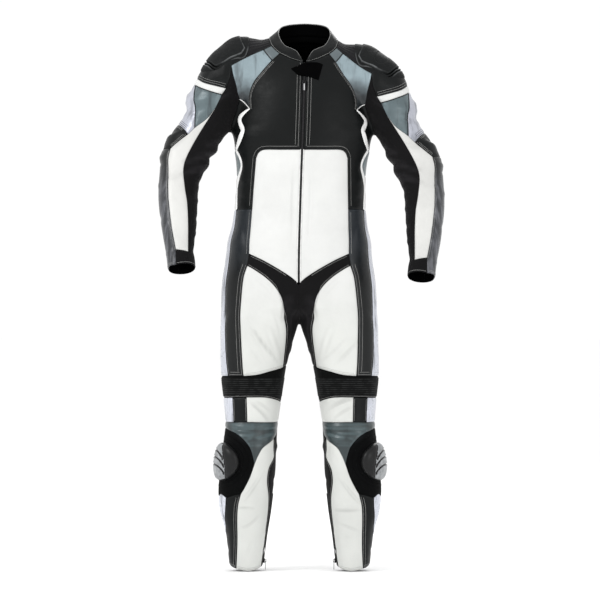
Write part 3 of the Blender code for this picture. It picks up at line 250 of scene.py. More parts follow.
# name, middle, way it looks: rays fan out of the middle
FANS = {
    "shoulder_fan": ((150, 5, -75), (0.62, 0.0, 0.78)),
    "back_fan": ((0, -5, -125), (0.0, 0.8, 0.6)),
}
ROUND = {"trunk": 165.0, "arm": 62.0, "leg": 88.0}  # radius that turns an angle into a length


class Chart:
    """A flat map: where a surface point lies on it, and the surface point under a place on it."""

    def __init__(self, kind, middle=0.0):
        self.kind = kind
        self.middle = math.radians(middle)
        if kind in FANS:
            self.centre, look = (np.array(v, float) for v in FANS[kind])
            self.look = look / np.linalg.norm(look)
            across = np.cross((0, 0, 1), self.look)
            self.across = across / np.linalg.norm(across)
            self.up = np.cross(self.look, self.across)

    def flat(self, p):
        if self.kind == "front":
            return p[:, [0, 2]]
        if self.kind in FANS:
            way = p - self.centre
            way /= np.linalg.norm(way, axis=1)[:, None]
            over = 200.0 / (1 + way @ self.look)
            return np.stack([way @ self.across * over, way @ self.up * over], axis=1)
        out, back = read(TUBES[self.kind], p[:, 2])[:2]
        turn = np.arctan2(p[:, 0] - out, back - p[:, 1]) - self.middle
        turn = (turn + math.pi) % (2 * math.pi) - math.pi
        return np.stack([turn * ROUND[self.kind], p[:, 2]], axis=1)

    def surface(self, uv):
        if self.kind == "front":
            start = np.stack([uv[:, 0], np.full(len(uv), -300.0), uv[:, 1]], axis=1)
            return first_wall(start, np.tile((0.0, 1.0, 0.0), (len(uv), 1)), leaving=False)
        if self.kind in FANS:
            w = uv / 200.0
            s = (w**2).sum(1)[:, None]
            way = (2 * w[:, :1] * self.across + 2 * w[:, 1:] * self.up + (1 - s) * self.look) / (1 + s)
            return first_wall(np.tile(self.centre, (len(uv), 1)), way)
        return from_axis(self.kind, uv[:, 0] / ROUND[self.kind] + self.middle, uv[:, 1])


def from_axis(name, turn, height):
    out, back = read(TUBES[name], height)[:2]
    way = np.stack([np.sin(turn), -np.cos(turn), np.zeros(len(turn))], axis=1)
    return first_wall(np.stack([out, back, height], axis=1), way)


# ---- corners and seams ------

# A place is a view and two numbers. F, front: outward, height. B, back: outward, height. T, top: outward,
# back. U and N, from below the crotch and the armpit: outward, back. trunk, arm and leg: degrees round from
# the front, outward first; height.
CORNERS = {
    "neck_front": ("F", ZIP_HALF, -36),
    "neck_wedge_low": ("F", 66, -14),
    "neck_wedge_high": ("F", 88, 9),
    "neck_back": ("T", 0, 70),
    "shoulder_front": ("F", 150, -25),
    "shoulder_back": ("B", 152, -28),
    "wedge_out": ("F", 188, -46),
    "patch_high": ("F", 107, -2),
    "patch_low": ("F", 85, -33),
    "wedge_low": ("F", 168, -136),
    "wedge_tip": ("F", 143, -163),
    "belly_middle": ("F", ZIP_HALF, -273),
    "belly_corner": ("F", 123.5, -296),
    "waist_belly": ("F", 129.5, -432),
    "waist_flank": ("F", 171, -432),
    "waist_silver": ("leg", 108, -432),
    "lumbar_top": ("B", 104, -430),
    "back_waist": ("B", 0, -424),
    "lumbar_low": ("B", 94, -520),
    "lumbar_middle": ("B", 0, -530),
    "belly_low": ("F", 134, -551),
    "thigh_top": ("F", 139, -583),
    "zip_bottom": ("F", ZIP_HALF, -628),
    "vee": ("F", 0, -636),
    "crotch": ("U", 0, 4),
    "pit": ("N", 198, -10),
    "cap_back": ("B", 176, -74),
    "band_top_in": ("F", 202, -108),
    "band_low_in": ("F", 213, -125),
    "band_top_back": ("arm", 195, -108),
    "band_low_back": ("arm", 195, -124),
    "band_low_side": ("arm", 60, -98),
    "grey_low": ("F", 286, -213),
    "grey_point": ("F", 230, -160),
    "silver_low": ("F", 304, -231),
    "elbow_back": ("arm", 195, -212),
    "patch_out": ("F", 334, -540),
    "patch_in": ("F", 300, -546),
    "cuff_patch": ("F", 334, -581),
    "cuff_back": ("arm", 165, -607),
    "side_low": ("F", 192, -878),
    "thigh_low_out": ("F", 152, -878),
    "thigh_low_in": ("F", 44, -855),
    "inseam_band": ("leg", -100, -850),
    "band_end_top": ("leg", 110, -880),
    "band_end_low": ("leg", 110, -942),
    "inseam_row": ("leg", -100, -950),
    "row_end_low": ("leg", 110, -1003),
    "row_in_low": ("leg", -98, -1002),
    "yoke_in": ("F", 70, -1046),
    "yoke_point": ("F", 122, -1115),
    "base_end_top": ("leg", 112, -1020),
    "base_end_low": ("leg", 112, -1192),
    "base_low": ("F", 158, -1195),
    "shin_hem_out": ("F", 171, -1398),
    "shin_hem_in": ("F", 104, -1394),
    "hem_side": ("leg", 112, -1386),
    "stretch_neck": ("T", 84, 38),
    "stretch_shoulder": ("T", 151, 42),
    "flank_high": ("F", 174, -272),
    "flank_mid": ("F", 166, -338),
    "side_rear_high": ("trunk", 96, -276),
    "side_rear_mid": ("trunk", 100, -342),
    "row_white_top": ("F", 143, -935),
    "row_white_low": ("F", 141, -1001),
    "row_black_top": ("F", 180, -936),
    "row_black_low": ("F", 177, -1002),
    "elbow_low": ("F", 350, -270),
    "elbow_low_back": ("arm", 192, -262),
    "shin_silver": ("leg", 46, -1206),
    "shin_silver_low": ("leg", 112, -1356),
}

# name: first corner, places between, last corner
SEAMS = {
    "neck_chest": ("neck_front", [("F", 22, -33), ("F", 41, -27)], "neck_wedge_low"),
    "neck_wedge": ("neck_wedge_low", [("F", 78, -3)], "neck_wedge_high"),
    "neck_stretch": ("neck_wedge_high", [("T", 93, 2)], "stretch_neck"),
    "neck_yoke": ("stretch_neck", [("T", 56, 60), ("T", 28, 68)], "neck_back"),
    "stretch_rear": ("stretch_neck", [("T", 118, 44)], "stretch_shoulder"),
    "wedge_top_neck": ("neck_wedge_high", [], "patch_high"),
    "wedge_top_in": ("patch_high", [("F", 128, -13)], "shoulder_front"),
    "wedge_cross": ("patch_high", [("F", 97, -17)], "patch_low"),
    "wedge_chest_neck": ("neck_wedge_low", [], "patch_low"),
    "wedge_top_out": ("shoulder_front", [("F", 168, -35)], "wedge_out"),
    "wedge_side": ("wedge_out", [("F", 183, -70), ("F", 176, -96), ("F", 172, -120)], "wedge_low"),
    "wedge_foot": ("wedge_low", [("F", 155, -147)], "wedge_tip"),
    "wedge_chest": ("patch_low", [("F", 98, -49), ("F", 114, -69), ("F", 130, -90), ("F", 140, -113),
        ("F", 144, -138)], "wedge_tip"),
    "zip_chest": ("neck_front", [("F", ZIP_HALF, -110), ("F", ZIP_HALF, -190)], "belly_middle"),
    "zip_belly": ("belly_middle", [("F", ZIP_HALF, -390), ("F", ZIP_HALF, -510)], "zip_bottom"),
    "belly_top": ("belly_middle", [("F", 60, -273), ("F", 102, -273), ("F", 117, -281)], "belly_corner"),
    "belly_side": ("belly_corner", [("F", 126, -350), ("F", 128, -392)], "waist_belly"),
    "belly_hip": ("waist_belly", [("F", 132, -490)], "belly_low"),
    "flank": ("wedge_tip", [("F", 157, -173), ("F", 168, -186), ("F", 168, -204), ("F", 161, -222),
        ("F", 168, -245)], "flank_high"),
    "flank_slate": ("flank_high", [("F", 162, -306)], "flank_mid"),
    "flank_white": ("flank_mid", [("F", 171, -378)], "waist_flank"),
    "side_top": ("flank_high", [("trunk", 85, -272)], "side_rear_high"),
    "side_cross": ("flank_mid", [("trunk", 85, -340)], "side_rear_mid"),
    "side_rear_slate": ("side_rear_high", [], "side_rear_mid"),
    "side_rear_white": ("side_rear_mid", [("trunk", 104, -390)], "waist_silver"),
    "waist_side": ("waist_belly", [("F", 150, -432)], "waist_flank"),
    "waist_hip": ("waist_flank", [("leg", 92, -432)], "waist_silver"),
    "waist_back": ("waist_silver", [("B", 135, -432)], "lumbar_top"),
    "waist_lumbar": ("lumbar_top", [("B", 52, -426)], "back_waist"),
    "lumbar_side": ("lumbar_top", [("B", 99, -475)], "lumbar_low"),
    "lumbar_foot": ("lumbar_low", [("B", 48, -528)], "lumbar_middle"),
    "lumbar_spine": ("back_waist", [("B", 0, -475)], "lumbar_middle"),
    "spine": ("neck_back", [("B", 0, -40), ("B", 0, -180), ("B", 0, -320)], "back_waist"),
    "seat_middle": ("lumbar_middle", [("B", 0, -600), ("B", 0, -665), ("B", 0, -705)], "crotch"),
    "shoulder_seam": ("shoulder_front", [("T", 150, -40), ("T", 150, 0)], "stretch_shoulder"),
    "shoulder_rear": ("stretch_shoulder", [], "shoulder_back"),
    "hole_front": ("wedge_low", [("F", 177, -165), ("F", 189, -200)], "pit"),
    "hole_back_low": ("pit", [("B", 193, -200), ("B", 184, -155), ("B", 178, -112)], "cap_back"),
    "hole_back_high": ("cap_back", [("B", 168, -48)], "shoulder_back"),
    "cap_front": ("wedge_out", [("F", 191, -78)], "band_top_in"),
    "cap_rear": ("band_top_back", [("arm", 205, -94)], "cap_back"),
    "band_top": ("band_top_in", [("arm", 30, -94), ("arm", 60, -82), ("arm", 90, -77), ("arm", 125, -81),
        ("arm", 160, -94)], "band_top_back"),
    "band_front": ("band_top_in", [], "band_low_in"),
    "band_rear": ("band_top_back", [], "band_low_back"),
    "band_low_grey": ("band_low_in", [("arm", 10, -117), ("arm", 35, -107)], "band_low_side"),
    "band_low_silver": ("band_low_side", [("arm", 90, -93), ("arm", 125, -97), ("arm", 160, -110)],
        "band_low_back"),
    "grey_in": ("band_low_in", [], "grey_point"),
    "grey_foot": ("grey_point", [("F", 252, -188)], "grey_low"),
    "grey_silver": ("band_low_side", [("F", 286, -150)], "grey_low"),
    "elbow_top": ("silver_low", [("F", 317, -215), ("arm", 95, -202), ("arm", 125, -202),
        ("arm", 160, -206)], "elbow_back"),
    "silver_rear": ("band_low_back", [("arm", 196, -165)], "elbow_back"),
    "white_silver": ("grey_low", [], "silver_low"),
    "white_elbow": ("silver_low", [("F", 328, -251)], "elbow_low"),
    "white_out": ("elbow_low", [("F", 357, -300), ("F", 357, -350), ("F", 355, -405), ("F", 347, -472)],
        "patch_out"),
    "elbow_foot": ("elbow_low", [("arm", 90, -272), ("arm", 150, -266)], "elbow_low_back"),
    "white_in": ("grey_point", [("F", 251, -193), ("F", 273, -228), ("F", 293, -263), ("F", 309, -296),
        ("F", 316, -328), ("F", 311, -375), ("F", 304, -420), ("F", 301, -480)], "patch_in"),
    "patch_top": ("patch_out", [], "patch_in"),
    "patch_side": ("patch_out", [], "cuff_patch"),
    "cuff_outer": ("cuff_patch", [("arm", 60, -586), ("arm", 95, -595), ("arm", 130, -603)], "cuff_back"),
    "cuff_inner": ("cuff_patch", [("arm", -15, -577), ("arm", -55, -581), ("arm", -95, -589),
        ("arm", -135, -599), ("arm", 190, -606)], "cuff_back"),
    "elbow_rear": ("elbow_back", [], "elbow_low_back"),
    "forearm_rear": ("elbow_low_back", [("arm", 186, -330), ("arm", 178, -410), ("arm", 170, -500)],
        "cuff_back"),
    "hip_top": ("belly_low", [("F", 94, -570), ("F", 55, -592), ("F", 22, -613)], "zip_bottom"),
    "hip_tip": ("zip_bottom", [], "vee"),
    "hip_end": ("belly_low", [], "thigh_top"),
    "thigh_in": ("thigh_top", [("F", 119, -594), ("F", 90, -614), ("F", 65, -638), ("F", 47, -667),
        ("F", 39, -702), ("F", 35, -750), ("F", 37, -800)], "thigh_low_in"),
    "thigh_out": ("thigh_top", [("F", 150, -622), ("F", 158, -702), ("F", 158, -756), ("F", 155, -837)],
        "thigh_low_out"),
    "crotch_front": ("vee", [("F", 0, -670), ("F", 0, -700), ("F", 0, -722)], "crotch"),
    "inseam": ("crotch", [("leg", -98, -800)], "inseam_band"),
    "side_silver": ("waist_flank", [("F", 177, -490), ("F", 187, -570), ("F", 195, -648), ("F", 198, -729),
        ("F", 198, -810)], "side_low"),
    "thigh_rear": ("waist_silver", [("leg", 108, -560), ("leg", 110, -700), ("leg", 110, -800)],
        "band_end_top"),
    "knee_back": ("inseam_band", [("leg", -135, -868), ("leg", 180, -884), ("leg", 140, -882)],
        "band_end_top"),
    "knee_top_in": ("inseam_band", [("leg", -75, -851)], "thigh_low_in"),
    "knee_top": ("thigh_low_in", [("F", 80, -866), ("F", 116, -875)], "thigh_low_out"),
    "knee_top_side": ("thigh_low_out", [], "side_low"),
    "knee_top_silver": ("side_low", [("leg", 88, -880)], "band_end_top"),
    "knee_in": ("inseam_band", [("leg", -100, -900)], "inseam_row"),
    "knee_out": ("band_end_top", [("leg", 110, -911)], "band_end_low"),
    "knee_low": ("inseam_row", [("leg", -75, -948), ("F", 88, -936)], "row_white_top"),
    "knee_low_black": ("row_white_top", [], "row_black_top"),
    "knee_low_silver": ("row_black_top", [("leg", 85, -938)], "band_end_low"),
    "row_cross_in": ("row_white_top", [], "row_white_low"),
    "row_cross_out": ("row_black_top", [], "row_black_low"),
    "row_in": ("inseam_row", [], "row_in_low"),
    "row_out": ("band_end_low", [], "row_end_low"),
    "row_low": ("row_in_low", [("leg", -70, -1002), ("F", 90, -1002)], "row_white_low"),
    "row_low_black": ("row_white_low", [], "row_black_low"),
    "row_low_silver": ("row_black_low", [("leg", 80, -1002)], "row_end_low"),
    "yoke_inner": ("row_in_low", [("leg", -84, -1028)], "yoke_in"),
    "yoke_shin": ("yoke_in", [("F", 98, -1068), ("F", 112, -1090)], "yoke_point"),
    "yoke_end": ("row_end_low", [], "base_end_top"),
    "yoke_base": ("base_end_top", [("leg", 85, -1018), ("F", 190, -1023), ("F", 162, -1037),
        ("F", 137, -1064), ("F", 127, -1090)], "yoke_point"),
    "base_shin": ("yoke_point", [("F", 134, -1150), ("F", 148, -1178)], "base_low"),
    "base_foot": ("base_low", [("F", 178, -1199)], "shin_silver"),
    "base_foot_silver": ("shin_silver", [("leg", 64, -1196), ("leg", 88, -1204)], "base_end_low"),
    "shin_cross": ("shin_silver", [("leg", 49, -1232), ("leg", 60, -1272), ("leg", 78, -1316)],
        "shin_silver_low"),
    "base_rear": ("base_end_top", [("leg", 112, -1105)], "base_end_low"),
    "shin_out": ("base_low", [("F", 166, -1228), ("F", 168, -1270), ("F", 168, -1336)], "shin_hem_out"),
    "shin_in": ("yoke_in", [("F", 71, -1072), ("F", 70, -1096), ("F", 82, -1124), ("F", 87, -1160),
        ("F", 83, -1210), ("F", 88, -1269), ("F", 96, -1336)], "shin_hem_in"),
    "shin_hem": ("shin_hem_in", [("F", 137, -1404)], "shin_hem_out"),
    "side_hem": ("shin_hem_out", [("leg", 70, -1390)], "hem_side"),
    "silver_side": ("base_end_low", [], "shin_silver_low"),
    "shin_rear": ("shin_silver_low", [], "hem_side"),
    "calf_hem": ("hem_side", [("leg", 150, -1382), ("leg", 190, -1382), ("leg", 230, -1386),
        ("leg", 270, -1392)], "shin_hem_in"),
}

# panel: chart, its middle in degrees, seams round it
PANELS = {
    "chest": ("trunk", 40,
        "zip_chest belly_top belly_side waist_side flank_white flank_slate flank wedge_chest "
        "wedge_chest_neck neck_chest"),
    "wedge": ("front", 0, "wedge_cross wedge_top_in wedge_top_out wedge_side wedge_foot wedge_chest"),
    "wedge_patch": ("front", 0, "neck_wedge wedge_top_neck wedge_cross wedge_chest_neck"),
    "belly": ("trunk", 25, "belly_top belly_side belly_hip hip_top zip_belly"),
    "sleeve_cap": ("shoulder_fan", 0,
        "wedge_top_out cap_front band_top cap_rear hole_back_high shoulder_rear shoulder_seam"),
    "arm_band": ("arm", 80, "band_top band_rear band_low_silver band_low_grey band_front"),
    "upper_arm_grey": ("arm", 20, "band_low_grey grey_silver grey_foot grey_in"),
    "upper_arm_silver": ("arm", 110, "band_low_silver silver_rear elbow_top white_silver grey_silver"),
    "elbow": ("arm", 100, "elbow_top elbow_rear elbow_foot white_elbow"),
    "forearm": ("arm", 100, "elbow_foot forearm_rear cuff_outer patch_side white_out"),
    "forearm_white": ("arm", 20, "grey_foot white_silver white_elbow white_out patch_top white_in"),
    "inner_sleeve": ("arm", -90,
        "cap_front band_front grey_in white_in patch_top patch_side cuff_inner forearm_rear "
        "elbow_rear silver_rear band_rear cap_rear hole_back_low hole_front wedge_side"),
    "groin": ("leg", -60, "hip_top hip_tip crotch_front inseam knee_top_in thigh_in hip_end"),
    "thigh_front": ("leg", 0, "thigh_in knee_top thigh_out"),
    "thigh_side": ("leg", 50, "waist_side belly_hip hip_end thigh_out knee_top_side side_silver"),
    "thigh_silver": ("leg", 90, "waist_hip side_silver knee_top_silver thigh_rear"),
    "shoulder_stretch": ("back_fan", 0,
        "neck_stretch wedge_top_neck wedge_top_in shoulder_seam stretch_rear"),
    "side_slate": ("trunk", 85, "flank_slate side_cross side_rear_slate side_top"),
    "side_white": ("trunk", 85, "flank_white waist_hip side_rear_white side_cross"),
    "seat": ("leg", 180, "waist_back lumbar_side lumbar_foot seat_middle inseam knee_back thigh_rear"),
    "knee_band": ("leg", 5,
        "knee_top_in knee_top knee_top_side knee_top_silver knee_out knee_low_silver knee_low_black "
        "knee_low knee_in"),
    "row_white": ("leg", 5, "knee_low row_cross_in row_low row_in"),
    "row_black": ("leg", 5, "knee_low_black row_cross_out row_low_black row_cross_in"),
    "row_silver": ("leg", 50, "knee_low_silver row_out row_low_silver row_cross_out"),
    "knee_yoke": ("leg", 0, "row_low row_low_black row_low_silver yoke_end yoke_base yoke_shin yoke_inner"),
    "slider_base": ("leg", 70, "yoke_base base_shin base_foot base_foot_silver base_rear"),
    "shin_white": ("leg", 0, "yoke_shin base_shin shin_out shin_hem shin_in"),
    "shin_side": ("leg", 75, "base_foot shin_cross shin_rear side_hem shin_out"),
    "shin_silver": ("leg", 95, "base_foot_silver silver_side shin_cross"),
    "calf": ("leg", 190,
        "knee_back knee_out row_out yoke_end base_rear silver_side shin_rear calf_hem shin_in "
        "yoke_inner row_in knee_in"),
}
# Panels that cross the middle of the back, made from a half: as above, seams of the half
WHOLE_PANELS = {
    "back": ("back_fan", 0,
        "neck_yoke stretch_rear shoulder_rear hole_back_high hole_back_low hole_front wedge_foot "
        "flank side_top side_rear_slate side_rear_white waist_back waist_lumbar spine"),
    "lumbar": ("trunk", 155, "waist_lumbar lumbar_side lumbar_foot lumbar_spine"),
}


# ---- collar, tab, cups and pucks ---------------------------------------------------------------------

# top edge of the collar from its front end round to the middle of the back: outward, back, height
COLLAR_TOP = [
    (7, -78, -29), (14, -76, -20), (23, -71, -8), (37, -63, 0), (53, -52, 8), (64, -36, 22), (72, -5, 45),
    (66, 38, 62), (45, 58, 70), (20, 66, 73), (0, 68, 74),
]
COLLAR_SWELL = 3.0  # the band bows outward between its seam and its top
# the tab's upper and lower edge from its pointed end at the wearer's right: outward to the left, height
TAB = (
    [(-35, -56), (-24, -51), (-9, -45), (2, -40), (18, -39), (35, -40), (49, -45)],
    [(-35, -58), (-27, -65), (-17, -74), (-2, -77), (12, -79), (24, -83), (38, -88)],
)
TAB_THICK = 2.2
# outline of the shoulder cup, front, outer side, back and inner side
CUP_OUTLINE = [
    ("F", 141, 8), ("F", 147, -16), ("F", 157, -28), ("F", 176, -30), ("F", 196, -38), ("F", 214, -50),
    ("F", 234, -60), ("arm", 60, -62), ("arm", 90, -58), ("arm", 120, -62), ("B", 234, -62),
    ("B", 214, -54), ("B", 196, -44), ("B", 176, -38), ("B", 157, -34), ("B", 147, -20), ("B", 141, 4),
    ("T", 143, 40), ("T", 143, 0), ("T", 143, -40),
]
PUCK_CENTRE = (62.0, -1108.0)  # degrees round the leg, height
PUCK_SIZE = (44.5, 51.0)  # half width in degrees, half height
PUCK = (4.5, 17.0, 2.2)  # height at the rim, rise to the middle, how square the dome is
ZIP_RUN = (-40.0, -626.0)  # top and foot of the front zip's teeth


# Soft swellings of the worn surface over armour: view, two numbers, height, spread across, spread along
SWELLS = [
    ("arm", 80, -258, 5.0, 60, 45),
    ("leg", 5, -1062, 4.0, 60, 55),
    ("leg", 82, -640, 3.0, 60, 60),
    ("F", 235, -150, 3.0, 45, 40),
]
LEFT_SWELLS = [("F", 256, -48, 10.0, 60, 60)]  # the left shoulder stands a little prouder
# Folds: view, then first and last place, height (less than nought for a trough), width
FOLDS = [
    ("arm", (62, -126), (110, -122), 3.5, 9),
    ("arm", (40, -176), (118, -158), -2.0, 6),
    ("arm", (48, -194), (118, -178), -2.0, 6),
    ("arm", (30, -226), (100, -246), 3.0, 10),
    ("arm", (-40, -232), (-120, -240), 5.0, 12),
    ("arm", (-35, -268), (-120, -276), 5.0, 12),
    ("arm", (-30, -306), (-120, -313), 4.5, 11),
    ("arm", (-35, -345), (-110, -350), 3.0, 12),
    ("arm", (-60, -375), (-130, -372), 2.5, 10),
    ("arm", (-40, -540), (-130, -548), -3.0, 12),
    ("leg", (-70, -1014), (60, -1012), 2.0, 5),
    ("leg", (-60, -1027), (50, -1030), -2.0, 6),
    ("leg", (-70, -1066), (-110, -1072), 3.0, 10),
    ("leg", (-30, -665), (-65, -745), -2.5, 12),
    ("leg", (-10, -740), (-45, -840), 2.5, 12),
    ("trunk", (62, -205), (86, -222), -3.0, 12),
    ("trunk", (66, -262), (92, -280), 3.0, 14),
    ("trunk", (66, -318), (92, -330), -3.0, 14),
]

def place(spot):
    """The surface point of one place in the tables."""
    view, a, b = spot
    if view in TUBES:
        out, back = read(TUBES[view], float(b))[:2]
        way = np.array((math.sin(math.radians(a)), -math.cos(math.radians(a)), 0.0))
        run = np.array((out, back, b)) + np.arange(0, 240, 2.0)[:, None] * way
        depth = field(run)
        if depth.max() <= 0:
            return settle(run[depth.argmax()][None])[0]
        return from_axis(view, np.array([math.radians(a)]), np.array([float(b)]))[0]
    starts = {"F": (a, -300, b), "B": (a, 300, b), "T": (a, b, 200), "U": (a, b, -1000), "N": (a, b, -330)}
    ways = {"F": (0, 1, 0), "B": (0, -1, 0), "T": (0, 0, -1), "U": (0, 0, 1), "N": (0, 0, 1)}
    run = np.array(starts[view], float) + np.arange(0, 600, 4.0)[:, None] * np.array(ways[view], float)
    depth = field(run)
    if depth.min() > 0:
        return settle(run[depth.argmin()][None])[0]
    start = np.array([starts[view]], float)
    return first_wall(start, np.array([ways[view]], float), leaving=False)[0]


def length_along(line):
    """How far along a line each of its points lies."""
    return np.concatenate([[0], np.cumsum(np.linalg.norm(np.diff(line, axis=0), axis=1))])


def read_along(line, at):
    """The points that lie so far along a line."""
    run = length_along(line)
    return np.stack([np.interp(at, run, line[:, i]) for i in range(line.shape[1])], axis=1)


def unit(ways):
    return ways / np.linalg.norm(ways, axis=1)[:, None]


def ways_along(line):
    """The way the line runs at each of its points."""
    return unit(np.gradient(line, axis=0))


def rounded(points, parts):
    """A smooth line through the given points, with so many parts between each two."""
    ends = np.vstack([2 * points[0] - points[1], points, 2 * points[-1] - points[-2]])
    fine = [
        0.5 * (2 * b + (c - a) * t + (2 * a - 5 * b + 4 * c - d) * t**2 + (3 * b - a - 3 * c + d) * t**3)
        for a, b, c, d in zip(ends, ends[1:], ends[2:], ends[3:])
        for t in np.linspace(0, 1, parts, endpoint=False)
    ]
    return np.array(fine + [points[-1]])


def curve_through(points, step):
    """A smooth curve through 3-D points, settled on the surface, its points a step apart."""
    points = np.array(points)
    fine = settle(rounded(points, 12))
    whole = length_along(fine)[-1]
    even = settle(read_along(fine, np.linspace(0, whole, max(2, int(round(whole / step)) + 1))), 3)
    even[0], even[-1] = points[0], points[-1]
    if np.abs(points[:, 0]).max() < 1e-6:
        even[:, 0] = 0.0
    return even


def outline_of(names, seams):
    """The seams end to end round a panel, each turned the way that joins."""
    left = [seams[n] for n in names]
    loop = [left[0]]
    nearest = min(np.linalg.norm(left[0][-1] - e) for s in left[1:] for e in (s[0], s[-1]))
    if nearest > 0.01:
        raise ValueError(f"{names[0]} meets no other seam")
    left = left[1:]
    while left:
        end = loop[-1][-1]
        for i, seam in enumerate(left):
            if np.linalg.norm(seam[0] - end) < 0.01:
                loop.append(left.pop(i))
                break
            if np.linalg.norm(seam[-1] - end) < 0.01:
                loop.append(left.pop(i)[::-1])
                break
        else:
            raise ValueError(f"the outline of {names} breaks at {end.round()}")
    return np.vstack([s[:-1] for s in loop])


def inside(points, ring):
    """Which flat points lie inside the ring."""
    x, y = points[:, :1], points[:, 1:]
    x1, y1 = ring.T
    x2, y2 = np.roll(ring, -1, axis=0).T
    spans = (y1 > y) != (y2 > y)
    with np.errstate(divide="ignore", invalid="ignore"):
        hits = spans & (x < (x2 - x1) * (y - y1) / (y2 - y1) + x1)
    return hits.sum(1) % 2 == 1


def posed(p):
    """The small lean of the suit and the lower left arm, on points of either side."""
    p = p.copy()
    start, whole = (np.interp(p[:, 2], ARM_SPAN_AT[:, 0], ARM_SPAN_AT[:, i]) for i in (1, 2))
    t = np.clip((np.abs(p[:, 0]) - start) / (whole - start), 0, 1)
    t = t * t * (3 - 2 * t)
    shift = np.interp(p[:, 2], LEAN_AT[:, 0], LEAN_AT[:, 1])
    p[:, 2] -= LEFT_ARM_DROP * t * (p[:, 0] > 0)
    p[:, 0] += shift + (ARM_LEAN - shift) * t
    return p


def grid_faces(rows, columns):
    return [
        [i * columns + j, i * columns + j + 1, (i + 1) * columns + j + 1, (i + 1) * columns + j]
        for i in range(rows - 1)
        for j in range(columns - 1)
    ]


def even_run(points, count):
    return read_along(points, np.linspace(0, length_along(points)[-1], count))


def from_front(out, up):
    """The surface points met going back from in front, at places outward and up."""
    start = np.stack([out, np.full(len(out), -300.0), up], axis=1)
    return first_wall(start, np.tile((0.0, 1.0, 0.0), (len(out), 1)), leaving=False)


def triangles(faces):
    """Two triangles for each face with four corners."""
    return [f[:3] for f in faces] + [[f[0], f[2], f[3]] for f in faces]


def mirrored(points, side):
    """The tables' points on their own side."""
    return points * ((-1, 1, 1) if side == "R" else (1, 1, 1))


def turned_for(faces, side):
    """Faces that look outward on their own side."""
    return [f[::-1] for f in faces] if side == "R" else faces


def one_side(points, faces, side):
    """Points and faces on their own side, in the suit's pose."""
    return posed(mirrored(points, side)), turned_for(faces, side)


# ---- creases -----------------------------------------------------------------------------------------

